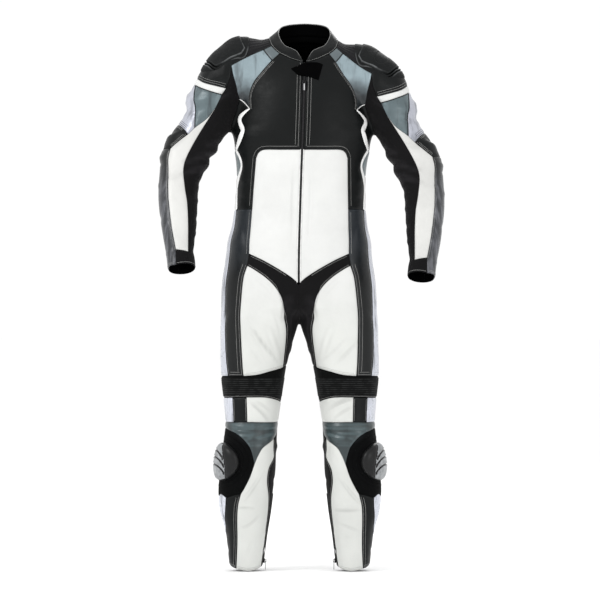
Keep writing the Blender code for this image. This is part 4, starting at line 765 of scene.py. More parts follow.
# Creases on both sides: view, places along it, height (less than nought for a trough), width
CREASES = [
    # crook of the elbow and the sleeve's inner side
    ("arm", [(-25, -250), (-70, -256), (-120, -254)], -2.2, 6),
    ("arm", [(-20, -286), (-75, -290), (-125, -296)], -2.6, 6),
    ("arm", [(-15, -325), (-60, -328), (-105, -331)], -2.2, 6),
    ("arm", [(10, -300), (-15, -303), (-45, -296)], 1.6, 5),
    ("arm", [(5, -338), (-20, -336), (-50, -330)], 1.4, 5),
    ("arm", [(-40, -205), (-90, -212), (-130, -206)], 1.8, 8),
    ("arm", [(-150, -232), (-175, -238), (-200, -240)], 1.6, 7),
    ("arm", [(-150, -272), (-172, -280), (-195, -276)], -1.6, 6),
    ("arm", [(-30, -412), (-70, -408), (-110, -414)], 1.5, 7),
    ("arm", [(-45, -452), (-85, -458), (-125, -450)], -1.4, 7),
    ("arm", [(-50, -505), (-90, -498), (-130, -506)], 1.3, 7),
    # outer elbow and forearm
    ("arm", [(55, -222), (85, -230), (118, -228)], -1.6, 6),
    ("arm", [(50, -284), (85, -292), (125, -286)], 1.6, 6),
    ("arm", [(58, -306), (90, -311), (120, -308)], -1.5, 6),
    ("arm", [(62, -372), (85, -368), (115, -374)], 1.0, 8),
    ("arm", [(55, -452), (85, -458), (110, -455)], -1.0, 9),
    ("arm", [(-5, -352), (20, -346), (40, -350)], -0.9, 6),
    ("arm", [(-5, -398), (15, -404), (38, -400)], 0.8, 7),
    ("arm", [(0, -470), (18, -466), (36, -468)], -0.7, 7),
    ("arm", [(15, -545), (50, -550), (95, -556)], 1.0, 6),
    # upper arm
    ("arm", [(5, -132), (25, -140), (50, -138)], 1.2, 7),
    ("arm", [(12, -160), (28, -168), (48, -176)], -1.2, 6),
    ("arm", [(70, -140), (100, -146), (135, -142)], 1.4, 7),
    ("arm", [(130, -176), (155, -186), (175, -184)], 1.3, 7),
    # shoulder cap and armhole
    ("arm", [(-10, -78), (8, -88), (28, -86)], -1.2, 7),
    ("arm", [(-30, -110), (-12, -128), (-8, -150)], -1.8, 8),
    ("B", [(196, -84), (190, -118), (186, -150)], -1.8, 9),
    ("B", [(176, -120), (158, -140), (140, -170)], 1.6, 10),
    ("B", [(180, -170), (160, -190), (138, -206)], -1.5, 10),
    # chest and flank
    ("F", [(168, -196), (140, -206), (112, -204)], -1.2, 10),
    ("F", [(160, -228), (136, -238), (112, -240)], 1.0, 10),
    ("F", [(120, -246), (80, -255), (46, -254)], -0.7, 9),
    ("F", [(164, -352), (148, -358), (134, -354)], 1.0, 7),
    ("F", [(168, -398), (150, -404), (134, -402)], -1.1, 7),
    # belly: soft folds down beside the zip
    ("F", [(18, -290), (20, -400), (17, -540)], -0.55, 4.5),
    ("F", [(27, -330), (28, -430), (25, -560)], 0.5, 6),
    ("F", [(112, -420), (84, -436), (52, -438)], -0.6, 9),
    ("F", [(118, -470), (92, -482), (60, -486)], 0.5, 10),
    # hips and crotch
    ("F", [(150, -470), (146, -510), (138, -545)], -1.0, 7),
    ("F", [(16, -660), (34, -690), (44, -735)], -2.0, 8),
    ("F", [(10, -690), (24, -718), (32, -760)], 1.6, 7),
    ("F", [(120, -612), (84, -640), (62, -672)], -0.9, 8),
    ("leg", [(-50, -700), (-62, -760), (-66, -820)], -1.6, 8),
    ("leg", [(-80, -790), (-95, -812), (-115, -820)], 1.6, 8),
    # side of the thigh
    ("leg", [(48, -700), (62, -730), (70, -775)], -0.9, 9),
    ("leg", [(60, -810), (74, -826), (90, -826)], 0.9, 8),
    # round the knee
    ("leg", [(-62, -1019), (0, -1022), (50, -1020)], -1.3, 3.5),
    ("leg", [(-50, -1040), (-14, -1044), (22, -1038)], 1.2, 5),
    ("leg", [(-40, -1056), (-10, -1060), (15, -1054)], -1.0, 5),
    ("leg", [(-30, -1018), (20, -1026), (60, -1016)], 1.3, 5),
    ("leg", [(-55, -1030), (-25, -1036), (5, -1050)], -1.2, 4),
    ("leg", [(30, -1032), (14, -1046), (2, -1066)], 1.2, 5),
    # shin
    ("leg", [(60, -1290), (80, -1298), (104, -1294)], 1.0, 7),
    ("leg", [(62, -1342), (84, -1350), (108, -1346)], -1.0, 7),
    # back of the knee and calf
    ("leg", [(125, -965), (180, -972), (240, -966)], -2.4, 8),
    ("leg", [(130, -1000), (175, -1010), (235, -1004)], 2.2, 8),
    ("leg", [(128, -1034), (185, -1040), (242, -1030)], -2.2, 8),
    ("leg", [(140, -1070), (190, -1078), (236, -1070)], 1.8, 9),
    ("leg", [(150, -1112), (195, -1120), (240, -1108)], -1.2, 10),
    ("leg", [(130, -1300), (180, -1308), (230, -1302)], 1.3, 9),
    ("leg", [(140, -1340), (195, -1346), (250, -1340)], -1.4, 8),
    ("leg", [(-60, -1150), (-88, -1160), (-112, -1152)], -1.2, 8),
    ("leg", [(-62, -1300), (-85, -1308), (-110, -1304)], 1.3, 7),
    ("leg", [(-58, -1345), (-84, -1352), (-112, -1350)], -1.3, 7),
    # seat and the back of the thigh
    ("leg", [(140, -745), (180, -760), (222, -752)], -1.6, 12),
    ("leg", [(145, -800), (185, -812), (225, -802)], 1.3, 11),
    ("leg", [(150, -850), (190, -858), (225, -850)], -1.2, 9),
    ("B", [(150, -560), (120, -574), (84, -570)], 1.2, 12),
    ("B", [(40, -560), (60, -610), (66, -660)], -1.0, 13),
    # back
    ("B", [(24, -90), (70, -112), (120, -118)], -1.0, 12),
    ("B", [(18, -230), (60, -248), (110, -240)], 0.9, 14),
    ("B", [(20, -330), (66, -344), (118, -334)], -1.6, 12),
    ("B", [(24, -366), (70, -380), (122, -372)], 1.5, 11),
    ("B", [(20, -402), (64, -410), (110, -404)], -1.4, 9),
    ("trunk", [(88, -392), (104, -400), (122, -396)], 1.6, 9),
]
# Creases on one side alone, as above
RIGHT_CREASES = [
    ("arm", [(60, -258), (84, -266), (104, -262)], -1.2, 6),
    ("arm", [(20, -236), (34, -252), (40, -272)], 1.0, 6),
    ("F", [(134, -735), (93, -797), (54, -856)], -0.85, 3.6),
    ("F", [(140, -742), (112, -801), (82, -856)], -0.45, 3.4),
    ("F", [(142, -790), (118, -826), (96, -852)], -0.5, 3.6),
    ("F", [(132, -746), (110, -784), (88, -821)], 0.5, 5),
    ("F", [(70, -700), (58, -735), (50, -775)], -0.7, 5),
    ("F", [(140, -944), (112, -966), (80, -1002)], 1.0, 4.5),
    ("F", [(134, -952), (106, -976), (82, -1006)], -1.0, 3.4),
    ("F", [(122, -942), (100, -956), (76, -974)], -0.8, 3.6),
    ("F", [(156, -1215), (128, -1180), (98, -1129)], 1.0, 6),
    ("F", [(170, -1233), (145, -1233), (118, -1235)], -0.9, 3),
    ("F", [(168, -1287), (134, -1277), (102, -1244)], -0.8, 3.8),
    ("F", [(143, -1359), (134, -1340), (129, -1323)], -0.6, 5),
    ("B", [(40, -150), (84, -166), (128, -158)], 0.8, 13),
    ("leg", [(-30, -1010), (10, -1014), (44, -1010)], 1.0, 4),
]
LEFT_CREASES = [
    ("arm", [(56, -268), (80, -274), (108, -270)], 1.2, 6),
    ("arm", [(-10, -232), (14, -242), (30, -238)], -1.1, 6),
    ("F", [(130, -772), (98, -806), (62, -842)], -0.6, 3.4),
    ("F", [(164, -776), (128, -818), (84, -856)], -0.7, 3.6),
    ("F", [(144, -788), (122, -808), (98, -830)], 0.5, 5),
    ("F", [(156, -936), (112, -948), (70, -972)], -1.1, 3.4),
    ("F", [(150, -926), (106, -938), (66, -960)], 0.9, 4.5),
    ("F", [(150, -956), (114, -974), (80, -1000)], -0.8, 3.6),
    ("F", [(168, -1224), (137, -1192), (105, -1148)], 1.0, 5),
    ("F", [(86, -1230), (128, -1231), (172, -1233)], 0.7, 5),
    ("F", [(86, -1240), (128, -1242), (172, -1243)], -0.8, 3),
    ("F", [(96, -1273), (132, -1285), (166, -1299)], -0.7, 3.6),
    ("F", [(108, -1317), (124, -1313), (140, -1316)], -0.5, 4),
    ("B", [(36, -170), (80, -182), (124, -190)], 0.8, 13),
    ("leg", [(-36, -1030), (0, -1034), (40, -1032)], 1.0, 4),
]
CRISP = (1.5, 0.9)  # how much taller and wider than their tables the creases are made
# ribbed panels: first and last height, how many ribs, how high
RIBS = {"knee_band": (-884, -934, 9, 1.3), "lumbar": (-437, -515, 18, 1.2)}
# how deep a piece's edge is rolled down into its seam, and how far in from it
ROLL = (1.3, 2.6)
PILLOW = (0.7, 9.0)  # a sewn piece stands a little fuller away from its seams
UNEVEN = (0.55, 0.022)  # slow unevenness of the leather: height, waves a millimetre


def traced(view, places, count=9):
    """A crease's line on the worn surface, smooth through its places."""
    places = np.array(places, float)
    t = np.linspace(0, 1, count)
    if len(places) == 2:
        line = places[0] + t[:, None] * (places[1] - places[0])
    else:
        a, b, c = places
        t = t[:, None]
        line = a * (1 - t) * (1 - 2 * t) + b * 4 * t * (1 - t) + c * t * (2 * t - 1)
    return np.array([place((view, *spot)) for spot in line])


def crease_lines(rows, crisp=(1.0, 1.0)):
    taller, wider = crisp
    return [(traced(view, places), height * taller, width * wider) for view, places, height, width in rows]


def crease_lift(p, lines):
    lift = np.zeros(len(p))
    for line, height, width in lines:
        low, high = line.min(0) - 3 * width, line.max(0) + 3 * width
        near = np.flatnonzero(((p > low) & (p < high)).all(1))
        if not len(near):
            continue
        q = p[near]
        best = np.full(len(q), 1e9)
        along = np.zeros(len(q))
        for i, (a, b) in enumerate(zip(line, line[1:])):
            t = np.clip(((q - a) @ (b - a)) / max((b - a) @ (b - a), 1e-9), 0, 1)
            d = np.linalg.norm(q - (a + t[:, None] * (b - a)), axis=1)
            along = np.where(d < best, (i + t) / (len(line) - 1), along)
            best = np.minimum(best, d)
        ends = np.sin(math.pi * np.clip(along, 0.01, 0.99)) ** 0.5
        lift[near] += height * np.exp(-((best / width) ** 2)) * ends
    return lift


def swell_at(rows):
    return [(place((view, a, b)), height, across, along) for view, a, b, height, across, along in rows]


SWELL_AT = {"R": swell_at(SWELLS), "L": swell_at(SWELLS + LEFT_SWELLS)}
BOTH_LINES = crease_lines([(view, [first, last], *rest) for view, first, last, *rest in FOLDS])
BOTH_LINES += crease_lines(CREASES, CRISP)
SIDE_LINES = {"R": crease_lines(RIGHT_CREASES, CRISP), "L": crease_lines(LEFT_CREASES, CRISP)}
PIT = place(CORNERS["pit"])


def relief(p, side, name=""):
    """How far armour, folds, creases and ribs lift the leather at surface points, in millimetres."""
    lift = np.zeros(len(p))
    for middle, height, across, along in SWELL_AT[side]:
        d = p - middle
        lift += height * np.exp(-((d[:, 0] ** 2 + d[:, 1] ** 2) / across**2 + (d[:, 2] / along) ** 2))
    lift += crease_lift(p, BOTH_LINES) + crease_lift(p, SIDE_LINES[side])
    lift *= np.clip(np.linalg.norm(p - PIT, axis=1) / 40 - 0.4, 0, 1)
    if name in RIBS:
        lift += RIBS[name][3] * (rib_at(p, name) - 0.5)
    return lift


def steep_at(points, faces, lift):
    """How steep the folds stand at each point: 0 where the cloth lies plain, 1 on a sharp fold's side."""
    tri = np.array([f[:3] for f in faces])
    a, b = points[tri[:, 1]] - points[tri[:, 0]], points[tri[:, 2]] - points[tri[:, 0]]
    da, db = lift[tri[:, 1]] - lift[tri[:, 0]], lift[tri[:, 2]] - lift[tri[:, 0]]
    aa, bb, ab = (a * a).sum(1), (b * b).sum(1), (a * b).sum(1)
    whole = np.maximum(aa * bb - ab**2, 1e-6)
    u, v = (bb * da - ab * db) / whole, (aa * db - ab * da) / whole
    slope = np.sqrt(np.maximum(u * da + v * db, 0))
    total, times = np.zeros(len(points)), np.zeros(len(points))
    for column in tri.T:
        np.add.at(total, column, slope)
        np.add.at(times, column, 1)
    return np.clip(total / np.maximum(times, 1) / 0.4, 0, 1)


def rib_at(p, name):
    """Where a place lies on a panel's ribs: 0 in a groove, 1 on a crest."""
    top, foot, count, _ = RIBS[name]
    share = np.clip((top - p[:, 2]) / (top - foot), 0, 1)
    return np.abs(np.sin(math.pi * count * share)) ** 0.8


def rolled(away):
    """How far a piece's surface stands from the form, by how far in from its seam it is."""
    deep, reach = ROLL
    fuller, spread = PILLOW
    return fuller * (1 - np.exp(-away / spread)) - deep * np.exp(-((away / reach) ** 2))


def uneven(p):
    height, waves = UNEVEN
    return np.array([noise.noise(Vector(spot)) for spot in p * waves]) * height


# ---- sewn pieces -------------------------------------------------------------------------------------


def make_seams():
    corners = {name: place(spot) for name, spot in CORNERS.items()}
    return {
        name: curve_through([corners[first], *map(place, between), corners[last]], SEAM_STEP)
        for name, (first, between, last) in SEAMS.items()
    }


def drawn_in(ring, depth):
    """The flat ring's points moved inward, without those that meet another stretch of the ring."""
    ahead = np.roll(ring, -1, axis=0) - ring
    ahead /= np.maximum(np.linalg.norm(ahead, axis=1), 1e-9)[:, None]
    turn = ahead + np.roll(ahead, 1, axis=0)
    turn /= np.maximum(np.linalg.norm(turn, axis=1), 0.3)[:, None]
    moved = ring + np.stack([-turn[:, 1], turn[:, 0]], axis=1) * depth
    return moved[from_ring(moved, ring) > depth * 0.85]


def from_ring(spots, ring):
    """How far flat spots lie inside the ring, less than nought outside it."""
    run = np.roll(ring, -1, axis=0) - ring
    size = np.maximum((run**2).sum(1), 1e-9)
    away = np.empty(len(spots))
    for i in range(0, len(spots), 1500):
        part = spots[i : i + 1500, None]
        t = np.clip(((part - ring) * run).sum(2) / size, 0, 1)
        away[i : i + 1500] = np.linalg.norm(part - (ring + t[..., None] * run), axis=2).min(1)
    return np.where(inside(spots, ring), away, -away)


def sheet_mesh(name, chart, ring3, across, along, lines=None):
    """Triangles over a piece inside its ring of seam points: points, triangles, flat places, depth from the
    seam. lines are further surface points its mesh follows."""
    ring = chart.flat(ring3)
    x, y = ring.T
    if (x * np.roll(y, -1) - y * np.roll(x, -1)).sum() < 0:
        ring, ring3 = ring[::-1], ring3[::-1]
    low, high = ring.min(0), ring.max(0)
    rows = np.arange(low[1] + along / 2, high[1], along)
    starts = [low[0] + across * (0.25 if i % 2 else 0.75) for i in range(len(rows))]
    grid = [(x, y) for start, y in zip(starts, rows) for x in np.arange(start, high[0], across)]
    grid = np.array(grid).reshape(-1, 2)
    grid = grid[inside(grid, ring)]
    grid = grid[from_ring(grid, ring) > 5.2]
    if lines is not None:
        lines = chart.flat(lines)
        lines = lines[from_ring(lines, ring) > 4.0]
        grid = grid[[np.hypot(*(lines - spot).T).min() > along * 0.55 for spot in grid]]
        grid = np.vstack([lines, grid])
    spots = np.vstack([drawn_in(ring, 1.3), drawn_in(ring, 3.2), grid])
    flat = np.vstack([ring, spots])
    edges = [(i, (i + 1) % len(ring)) for i in range(len(ring))]
    verts, _, faces, origin, _, _ = geometry.delaunay_2d_cdt([Vector(v) for v in flat], edges, [], 1, 1e-6)
    if len(verts) != len(flat):
        raise ValueError(f"{name}: the outline crosses itself")
    order = [ids[0] for ids in origin]
    points = np.vstack([ring3, chart.surface(spots)])
    depth = np.concatenate([np.zeros(len(ring)), from_ring(spots, ring)])
    return points, [[order[i] for i in f] for f in faces], flat, depth


def cut_size(points, faces, flat):
    """Width, length and area, in metres, of the flat cut of a piece."""
    tri = points[np.array(faces)]
    area = np.linalg.norm(np.cross(tri[:, 1] - tri[:, 0], tri[:, 2] - tri[:, 0]), axis=1).sum() / 2
    middle = flat - flat.mean(0)
    _, _, axes = np.linalg.svd(middle, full_matrices=False)
    extent = np.ptp(middle @ axes.T, axis=0)
    extent *= max(1.0, math.sqrt(area / (extent[0] * extent[1])) * 1.001)
    return (extent[1] * MM, extent[0] * MM), max(area, 0.31 * extent[0] * extent[1]) * MM**2


def cloth_object(name, points, faces, flat, depth, material, thick, weld=False, rise=None, folded=None):
    """A sheet of cloth as an object at the origin, its points in posed millimetres."""
    bm = bmesh.new()
    uv = bm.loops.layers.uv.new("cut")
    # seam: how far in from the seam, for rubbed edges and the painted shade in the seam's groove
    seam = bm.verts.layers.float.new("seam")
    # rib: where a point lies on the ribs, for painted light on the crests and painted shade in the grooves
    rib = bm.verts.layers.float.new("rib")
    # fold: how steep the folds stand, by which the finishes paint shade and highlights on the folds' sides
    fold = bm.verts.layers.float.new("fold")
    made = [bm.verts.new(v) for v in points * MM]
    for face in faces:
        bm.faces.new([made[i] for i in face])
    folds = np.zeros(len(points)) if folded is None else folded
    for vert, deep, high, bent in zip(made, depth, depth if rise is None else rise, folds):
        vert[fold] = bent
        vert[seam] = deep
        vert[rib] = high if rise is not None else 0.0
    bm.verts.index_update()
    for face in bm.faces:
        face.smooth = True
        for loop in face.loops:
            loop[uv].uv = flat[loop.vert.index] * MM
    if weld:
        bmesh.ops.remove_doubles(bm, verts=bm.verts, dist=1e-6)
    mesh = bpy.data.meshes.new(name)
    bm.to_mesh(mesh)
    bm.free()
    obj = bpy.data.objects.new(name, mesh)
    bpy.context.scene.collection.objects.link(obj)
    obj.data.materials.append(material)
    obj.data.materials.append(LINING)
    wall = obj.modifiers.new("wall", "SOLIDIFY")
    wall.thickness = thick * MM
    wall.offset = -1.0
    wall.material_offset = 1
    wall.material_offset_rim = 0
    return obj

# ---- finishes ----------------------------------------------------------------------------------------


def blank(name, rough, metallic=0.0, coat=0.0, sheen=0.0, specular=0.5):
    """A new material, its node tree and its shader."""
    made = bpy.data.materials.new(name)
    made.use_nodes = True
    tree = made.node_tree
    shader = tree.nodes["Principled BSDF"]
    shader.inputs["Roughness"].default_value = rough
    shader.inputs["Metallic"].default_value = metallic
    shader.inputs["Coat Weight"].default_value = coat
    shader.inputs["Coat Roughness"].default_value = 0.3
    shader.inputs["Sheen Weight"].default_value = sheen
    shader.inputs["Sheen Roughness"].default_value = 0.5
    shader.inputs["Specular IOR Level"].default_value = specular
    return made, tree, shader


def node(tree, kind, values=None, **settings):
    made = tree.nodes.new("ShaderNode" + kind)
    for key, value in settings.items():
        setattr(made, key, value)
    for key, value in (values or {}).items():
        if isinstance(value, bpy.types.NodeSocket):
            tree.links.new(value, made.inputs[key])
        else:
            made.inputs[key].default_value = value
    return made


def where(tree, scale):
    """The place on the object, stretched by a scale."""
    place_of = node(tree, "TexCoord").outputs["Object"]
    return node(tree, "Mapping", {"Vector": place_of, "Scale": scale}).outputs["Vector"]


def cloudy(tree, vector, scale, detail=3.0, rough=0.55):
    values = {"Vector": vector, "Scale": scale, "Detail": detail, "Roughness": rough}
    return node(tree, "TexNoise", values).outputs["Fac"]


def spread(tree, value, low, high, to_low, to_high, kind="SMOOTHSTEP"):
    values = {"Value": value, "From Min": low, "From Max": high, "To Min": to_low, "To Max": to_high}
    return node(tree, "MapRange", values, interpolation_type=kind).outputs["Result"]


def blended(tree, share, first, second, way="MIX"):
    made = node(tree, "Mix", data_type="RGBA", blend_type=way)
    for socket, value in ((made.inputs[0], share), (made.inputs[6], first), (made.inputs[7], second)):
        if isinstance(value, bpy.types.NodeSocket):
            tree.links.new(value, socket)
        else:
            socket.default_value = value if isinstance(value, float) else (*value[:3], 1.0)
    return made.outputs[2]


def tinted(colour, share):
    return tuple(min(1.0, c * share) for c in colour[:3])


def leather(
    name, colour, rough=0.42, grain=0.5, metallic=0.0, coat=0.0, foot=None, worn_edge=1.15, groove=0.45,
    gloss=0.5, painted_sheen_streak=None, mottle=(0.9, 1.06), painted_fold_shading=1.0,
):
    """Grained leather: pebbles, slow mottling, seams darkened by painted shade in their grooves, and rubbed
    edges.
    foot is (colour, top, bottom) of a fade downward, painted_sheen_streak a colour of painted sheen with how
    close its upright streaks stand and where in the noise they start and are whole, and painted_fold_shading
    what the colour is multiplied by on the steep sides of folds: painted shade below 1, painted highlight
    above 1."""
    made, tree, shader = blank(name, rough, metallic, coat, specular=gloss)
    vector = where(tree, (1, 1, 1))
    base = colour
    # painted sheen: upright streaks of a second colour stand in for the light and shade on the glossy leather
    if painted_sheen_streak:
        second, close, start, whole = painted_sheen_streak
        lines = cloudy(tree, where(tree, (close, close, close * 0.11)), 1.0, 3.0, 0.6)
        base = blended(tree, spread(tree, lines, start, whole, 0.0, 1.0), base, second)
    if foot:
        low, top, bottom = foot
        height = node(tree, "SeparateXYZ", {"Vector": vector}).outputs["Z"]
        patchy = spread(tree, cloudy(tree, vector, 14.0), 0.3, 0.7, -0.012, 0.012)
        height = node(tree, "Math", {0: height, 1: patchy}, operation="ADD").outputs[0]
        base = blended(tree, spread(tree, height, bottom, top, 0.0, 1.0), low, base)
    # painted shading on the steep sides of folds: the colour there is multiplied by painted_fold_shading,
    # painted shade below 1 and painted highlight above 1
    if painted_fold_shading != 1.0:
        fold = node(tree, "Attribute", attribute_name="fold").outputs["Fac"]
        bent = blended(tree, 1.0, base, (painted_fold_shading,) * 3, "MULTIPLY")
        base = blended(tree, spread(tree, fold, 0.12, 0.95, 0.0, 1.0), base, bent)
    slow = spread(tree, cloudy(tree, vector, 11.0, 4.0), 0.3, 0.72, 0.0, 1.0)
    shade = blended(tree, slow, (mottle[0],) * 3, (mottle[1],) * 3)
    base = blended(tree, 1.0, base, shade, "MULTIPLY")
    seam = node(tree, "Attribute", attribute_name="seam").outputs["Fac"]
    patch = spread(tree, cloudy(tree, vector, 90.0), 0.4, 0.65, 0.0, 1.0)
    ridge = spread(tree, seam, 1.2, 2.4, 0.0, 1.0)
    fade = spread(tree, seam, 3.0, 6.0, 1.0, 0.0)
    rub = node(tree, "Math", {0: ridge, 1: fade}, operation="MULTIPLY").outputs[0]
    rub = node(tree, "Math", {0: rub, 1: patch}, operation="MULTIPLY").outputs[0]
    base = blended(tree, rub, base, blended(tree, 1.0, base, (worn_edge,) * 3, "MULTIPLY"))
    # painted shade in the seam's groove: the colour darkens within about 1.4 mm of the seam
    dark = blended(tree, 1.0, base, (groove,) * 3, "MULTIPLY")
    base = blended(tree, spread(tree, seam, 0.2, 1.4, 0.85, 0.0), base, dark)
    tree.links.new(base, shader.inputs["Base Color"])
    shine = spread(tree, cloudy(tree, vector, 45.0, 3.0), 0.3, 0.7, rough - 0.06, rough + 0.08)
    tree.links.new(shine, shader.inputs["Roughness"])
    pebbles = {"Vector": vector, "Scale": 780.0, "Randomness": 0.95}
    cells = node(tree, "TexVoronoi", pebbles, feature="SMOOTH_F1")
    fine = cloudy(tree, vector, 420.0, 3.0)
    height = node(tree, "Math", {0: cells.outputs["Distance"], 1: fine}, operation="ADD").outputs[0]
    values = {"Height": height, "Strength": grain, "Distance": 0.0003}
    bump = node(tree, "Bump", values)
    wrinkle = cloudy(tree, where(tree, (1, 1, 1.7)), 70.0, 5.0, 0.6)
    values = {"Height": wrinkle, "Strength": 0.3, "Distance": 0.0018, "Normal": bump.outputs["Normal"]}
    tree.links.new(node(tree, "Bump", values).outputs["Normal"], shader.inputs["Normal"])
    return made


def knit(name, colour, rough=0.75, pitch=1.3, ribs=0.0, sheen=0.03, crest=None, painted_fold_shading=1.0, gloss=0.12):
    """Elastic fabric: a fine weave on the piece's own cut, with ribs across it every so many millimetres."""
    made, tree, shader = blank(name, rough, sheen=sheen, specular=gloss)
    cut = node(tree, "UVMap", uv_map="cut").outputs["UV"]
    per = 0.314 / (pitch * MM)
    across = node(tree, "TexWave", {"Vector": cut, "Scale": per, "Distortion": 0.3}, bands_direction="X")
    along = node(tree, "TexWave", {"Vector": cut, "Scale": per * 0.7, "Distortion": 0.3}, bands_direction="Y")
    both = {0: across.outputs["Fac"], 1: along.outputs["Fac"]}
    weave = node(tree, "Math", both, operation="MULTIPLY").outputs[0]
    values = {"Height": weave, "Strength": 0.5, "Distance": 0.0004}
    bump = node(tree, "Bump", values).outputs["Normal"]
    if ribs:
        rib = node(tree, "TexWave", {"Vector": cut, "Scale": 0.314 / (ribs * MM)}, bands_direction="Y")
        values = {"Height": rib.outputs["Fac"], "Strength": 0.9, "Distance": 0.0012, "Normal": bump}
        bump = node(tree, "Bump", values).outputs["Normal"]
    vector = where(tree, (1, 1, 1))
    slow = spread(tree, cloudy(tree, vector, 16.0, 4.0), 0.3, 0.7, 0.0, 1.0)
    base = blended(tree, slow, tinted(colour, 0.8), tinted(colour, 1.25))
    base = blended(tree, spread(tree, weave, 0.0, 0.5, 0.6, 0.0), base, tinted(colour, 0.35))
    # painted highlight on the rib crests, in patches, and painted shade in the grooves between them
    if crest:
        rise = node(tree, "Attribute", attribute_name="rib").outputs["Fac"]
        patches = spread(tree, cloudy(tree, vector, 60.0), 0.4, 0.6, 0.3, 1.0)
        crest_highlight = blended(tree, patches, base, crest)
        base = blended(tree, spread(tree, rise, 0.6, 1.0, 0.0, 1.0), base, crest_highlight)
        base = blended(tree, spread(tree, rise, 0.1, 0.45, 1.0, 0.0), base, tinted(colour, 0.4))
    # painted light on the steep sides of folds: the colour there goes to the fabric's colour times
    # painted_fold_shading, a painted highlight above 1
    if painted_fold_shading != 1.0:
        fold = node(tree, "Attribute", attribute_name="fold").outputs["Fac"]
        base = blended(tree, spread(tree, fold, 0.15, 1.0, 0.0, 1.0), base, tinted(colour, painted_fold_shading))
    tree.links.new(base, shader.inputs["Base Color"])
    tree.links.new(bump, shader.inputs["Normal"])
    return made


def plain(
    name, colour, rough, metallic=0.0, grain=400.0, depth=0.00012, coat=0.0, change=0.12, gloss=0.5, edge=None
):
    """Moulded plastic, thread or metal: slight mottling and a fine surface. With an edge colour, the edge
    attribute paints highlights in that colour above nought, and shade with no specular below nought.
    """
    made, tree, shader = blank(name, rough, metallic, coat, specular=gloss)
    vector = where(tree, (1, 1, 1))
    slow = spread(tree, cloudy(tree, vector, 60.0), 0.3, 0.7, 0.0, 1.0)
    base = blended(tree, slow, tinted(colour, 1 - change), tinted(colour, 1 + change))
    # painted light: the edge attribute paints highlights in the edge colour where it is above nought
    if edge:
        painted_light_at = node(tree, "Attribute", attribute_name="edge").outputs["Fac"]
        patch = spread(tree, cloudy(tree, vector, 120.0), 0.3, 0.6, 0.55, 1.0)
        painted_light_at = node(tree, "Math", {0: painted_light_at, 1: patch}, operation="MULTIPLY").outputs[0]
        base = blended(tree, painted_light_at, base, edge)
        # painted shade where the edge attribute is below nought, with the specular taken away there too
        hollow_shade = node(tree, "Attribute", attribute_name="edge").outputs["Fac"]
        base = blended(tree, spread(tree, hollow_shade, -0.8, 0.0, 1.0, 0.0), base, tinted(colour, 0.1))
        tree.links.new(spread(tree, hollow_shade, -0.8, 0.0, 0.0, gloss), shader.inputs["Specular IOR Level"])
    tree.links.new(base, shader.inputs["Base Color"])
    shine = spread(tree, cloudy(tree, vector, 130.0), 0.3, 0.7, rough - 0.05, rough + 0.07)
    tree.links.new(shine, shader.inputs["Roughness"])
    values = {"Height": cloudy(tree, vector, grain, 2.0), "Strength": 0.5, "Distance": depth}
    tree.links.new(node(tree, "Bump", values).outputs["Normal"], shader.inputs["Normal"])
    return made


LINING = knit("mesh_lining", (0.0012, 0.0012, 0.0014), 0.9, 2.2, sheen=0.0, gloss=0.02)
# painted_fold_shading below 1 paints shade on the sides of folds, above 1 paints highlights there;
# painted_sheen_streak is painted light and shade of the gloss
BLACK = leather("black_leather", (0.0042, 0.005, 0.0051), 0.42, worn_edge=2.6, gloss=0.14, painted_fold_shading=2.2)
SIDE_GLOSS = leather(
    "dark_gloss_leather", (0.019, 0.0225, 0.0265), 0.34, coat=0.05, worn_edge=1.8, gloss=0.22,
    foot=((0.0048, 0.0056, 0.0058), -0.5, -0.63), painted_sheen_streak=((0.03, 0.034, 0.04), 40.0, 0.55, 0.75), painted_fold_shading=1.6,
)
FOREARM = leather(
    "forearm_gloss_leather", (0.03, 0.032, 0.036), 0.32, coat=0.1, worn_edge=1.6, gloss=0.3,
    foot=((0.0045, 0.0053, 0.0054), -0.42, -0.275), painted_sheen_streak=((0.12, 0.123, 0.137), 76.0, 0.42, 0.7),
    painted_fold_shading=1.4,
)
WHITE = leather(
    "white_leather", (0.68, 0.685, 0.672), 0.4, 0.35, worn_edge=1.0, groove=0.5, gloss=0.25,
    mottle=(0.95, 1.02), foot=((0.62, 0.63, 0.605), -0.56, -0.8), painted_fold_shading=0.76,
)
ARM_WHITE = leather(
    "arm_white_leather", (0.6, 0.6, 0.582), 0.4, 0.35, worn_edge=1.0, groove=0.5, gloss=0.25,
    mottle=(0.93, 1.06), painted_fold_shading=0.74,
)
# the pearl leather's fade to a dark colour towards its foot is painted shade on its sheen, lighter at the top
PEARL = leather(
    "grey_pearl_leather", (0.25, 0.32, 0.35), 0.36, 0.4, 0.15, 0.1,
    foot=((0.016, 0.021, 0.024), -0.07, -0.133), worn_edge=1.1,
    painted_sheen_streak=((0.13, 0.165, 0.18), 42.0, 0.5, 0.72), painted_fold_shading=0.6,
)
PATCH = leather("patch_leather", (0.1, 0.125, 0.135), 0.38, 0.4, 0.1, 0.1, None, 1.1)
ARM_PEARL = leather(
    "arm_pearl_leather", (0.095, 0.127, 0.137), 0.36, 0.4, 0.12, 0.05, None, 1.1, 0.45, 0.4,
    painted_sheen_streak=((0.048, 0.063, 0.069), 50.0, 0.5, 0.7), painted_fold_shading=1.5,
)
YOKE = leather(
    "yoke_leather", (0.022, 0.033, 0.0355), 0.34, 0.4, 0.1, 0.1, None, 1.3,
    painted_sheen_streak=((0.014, 0.021, 0.0225), 30.0, 0.5, 0.7), painted_fold_shading=2.6,
)
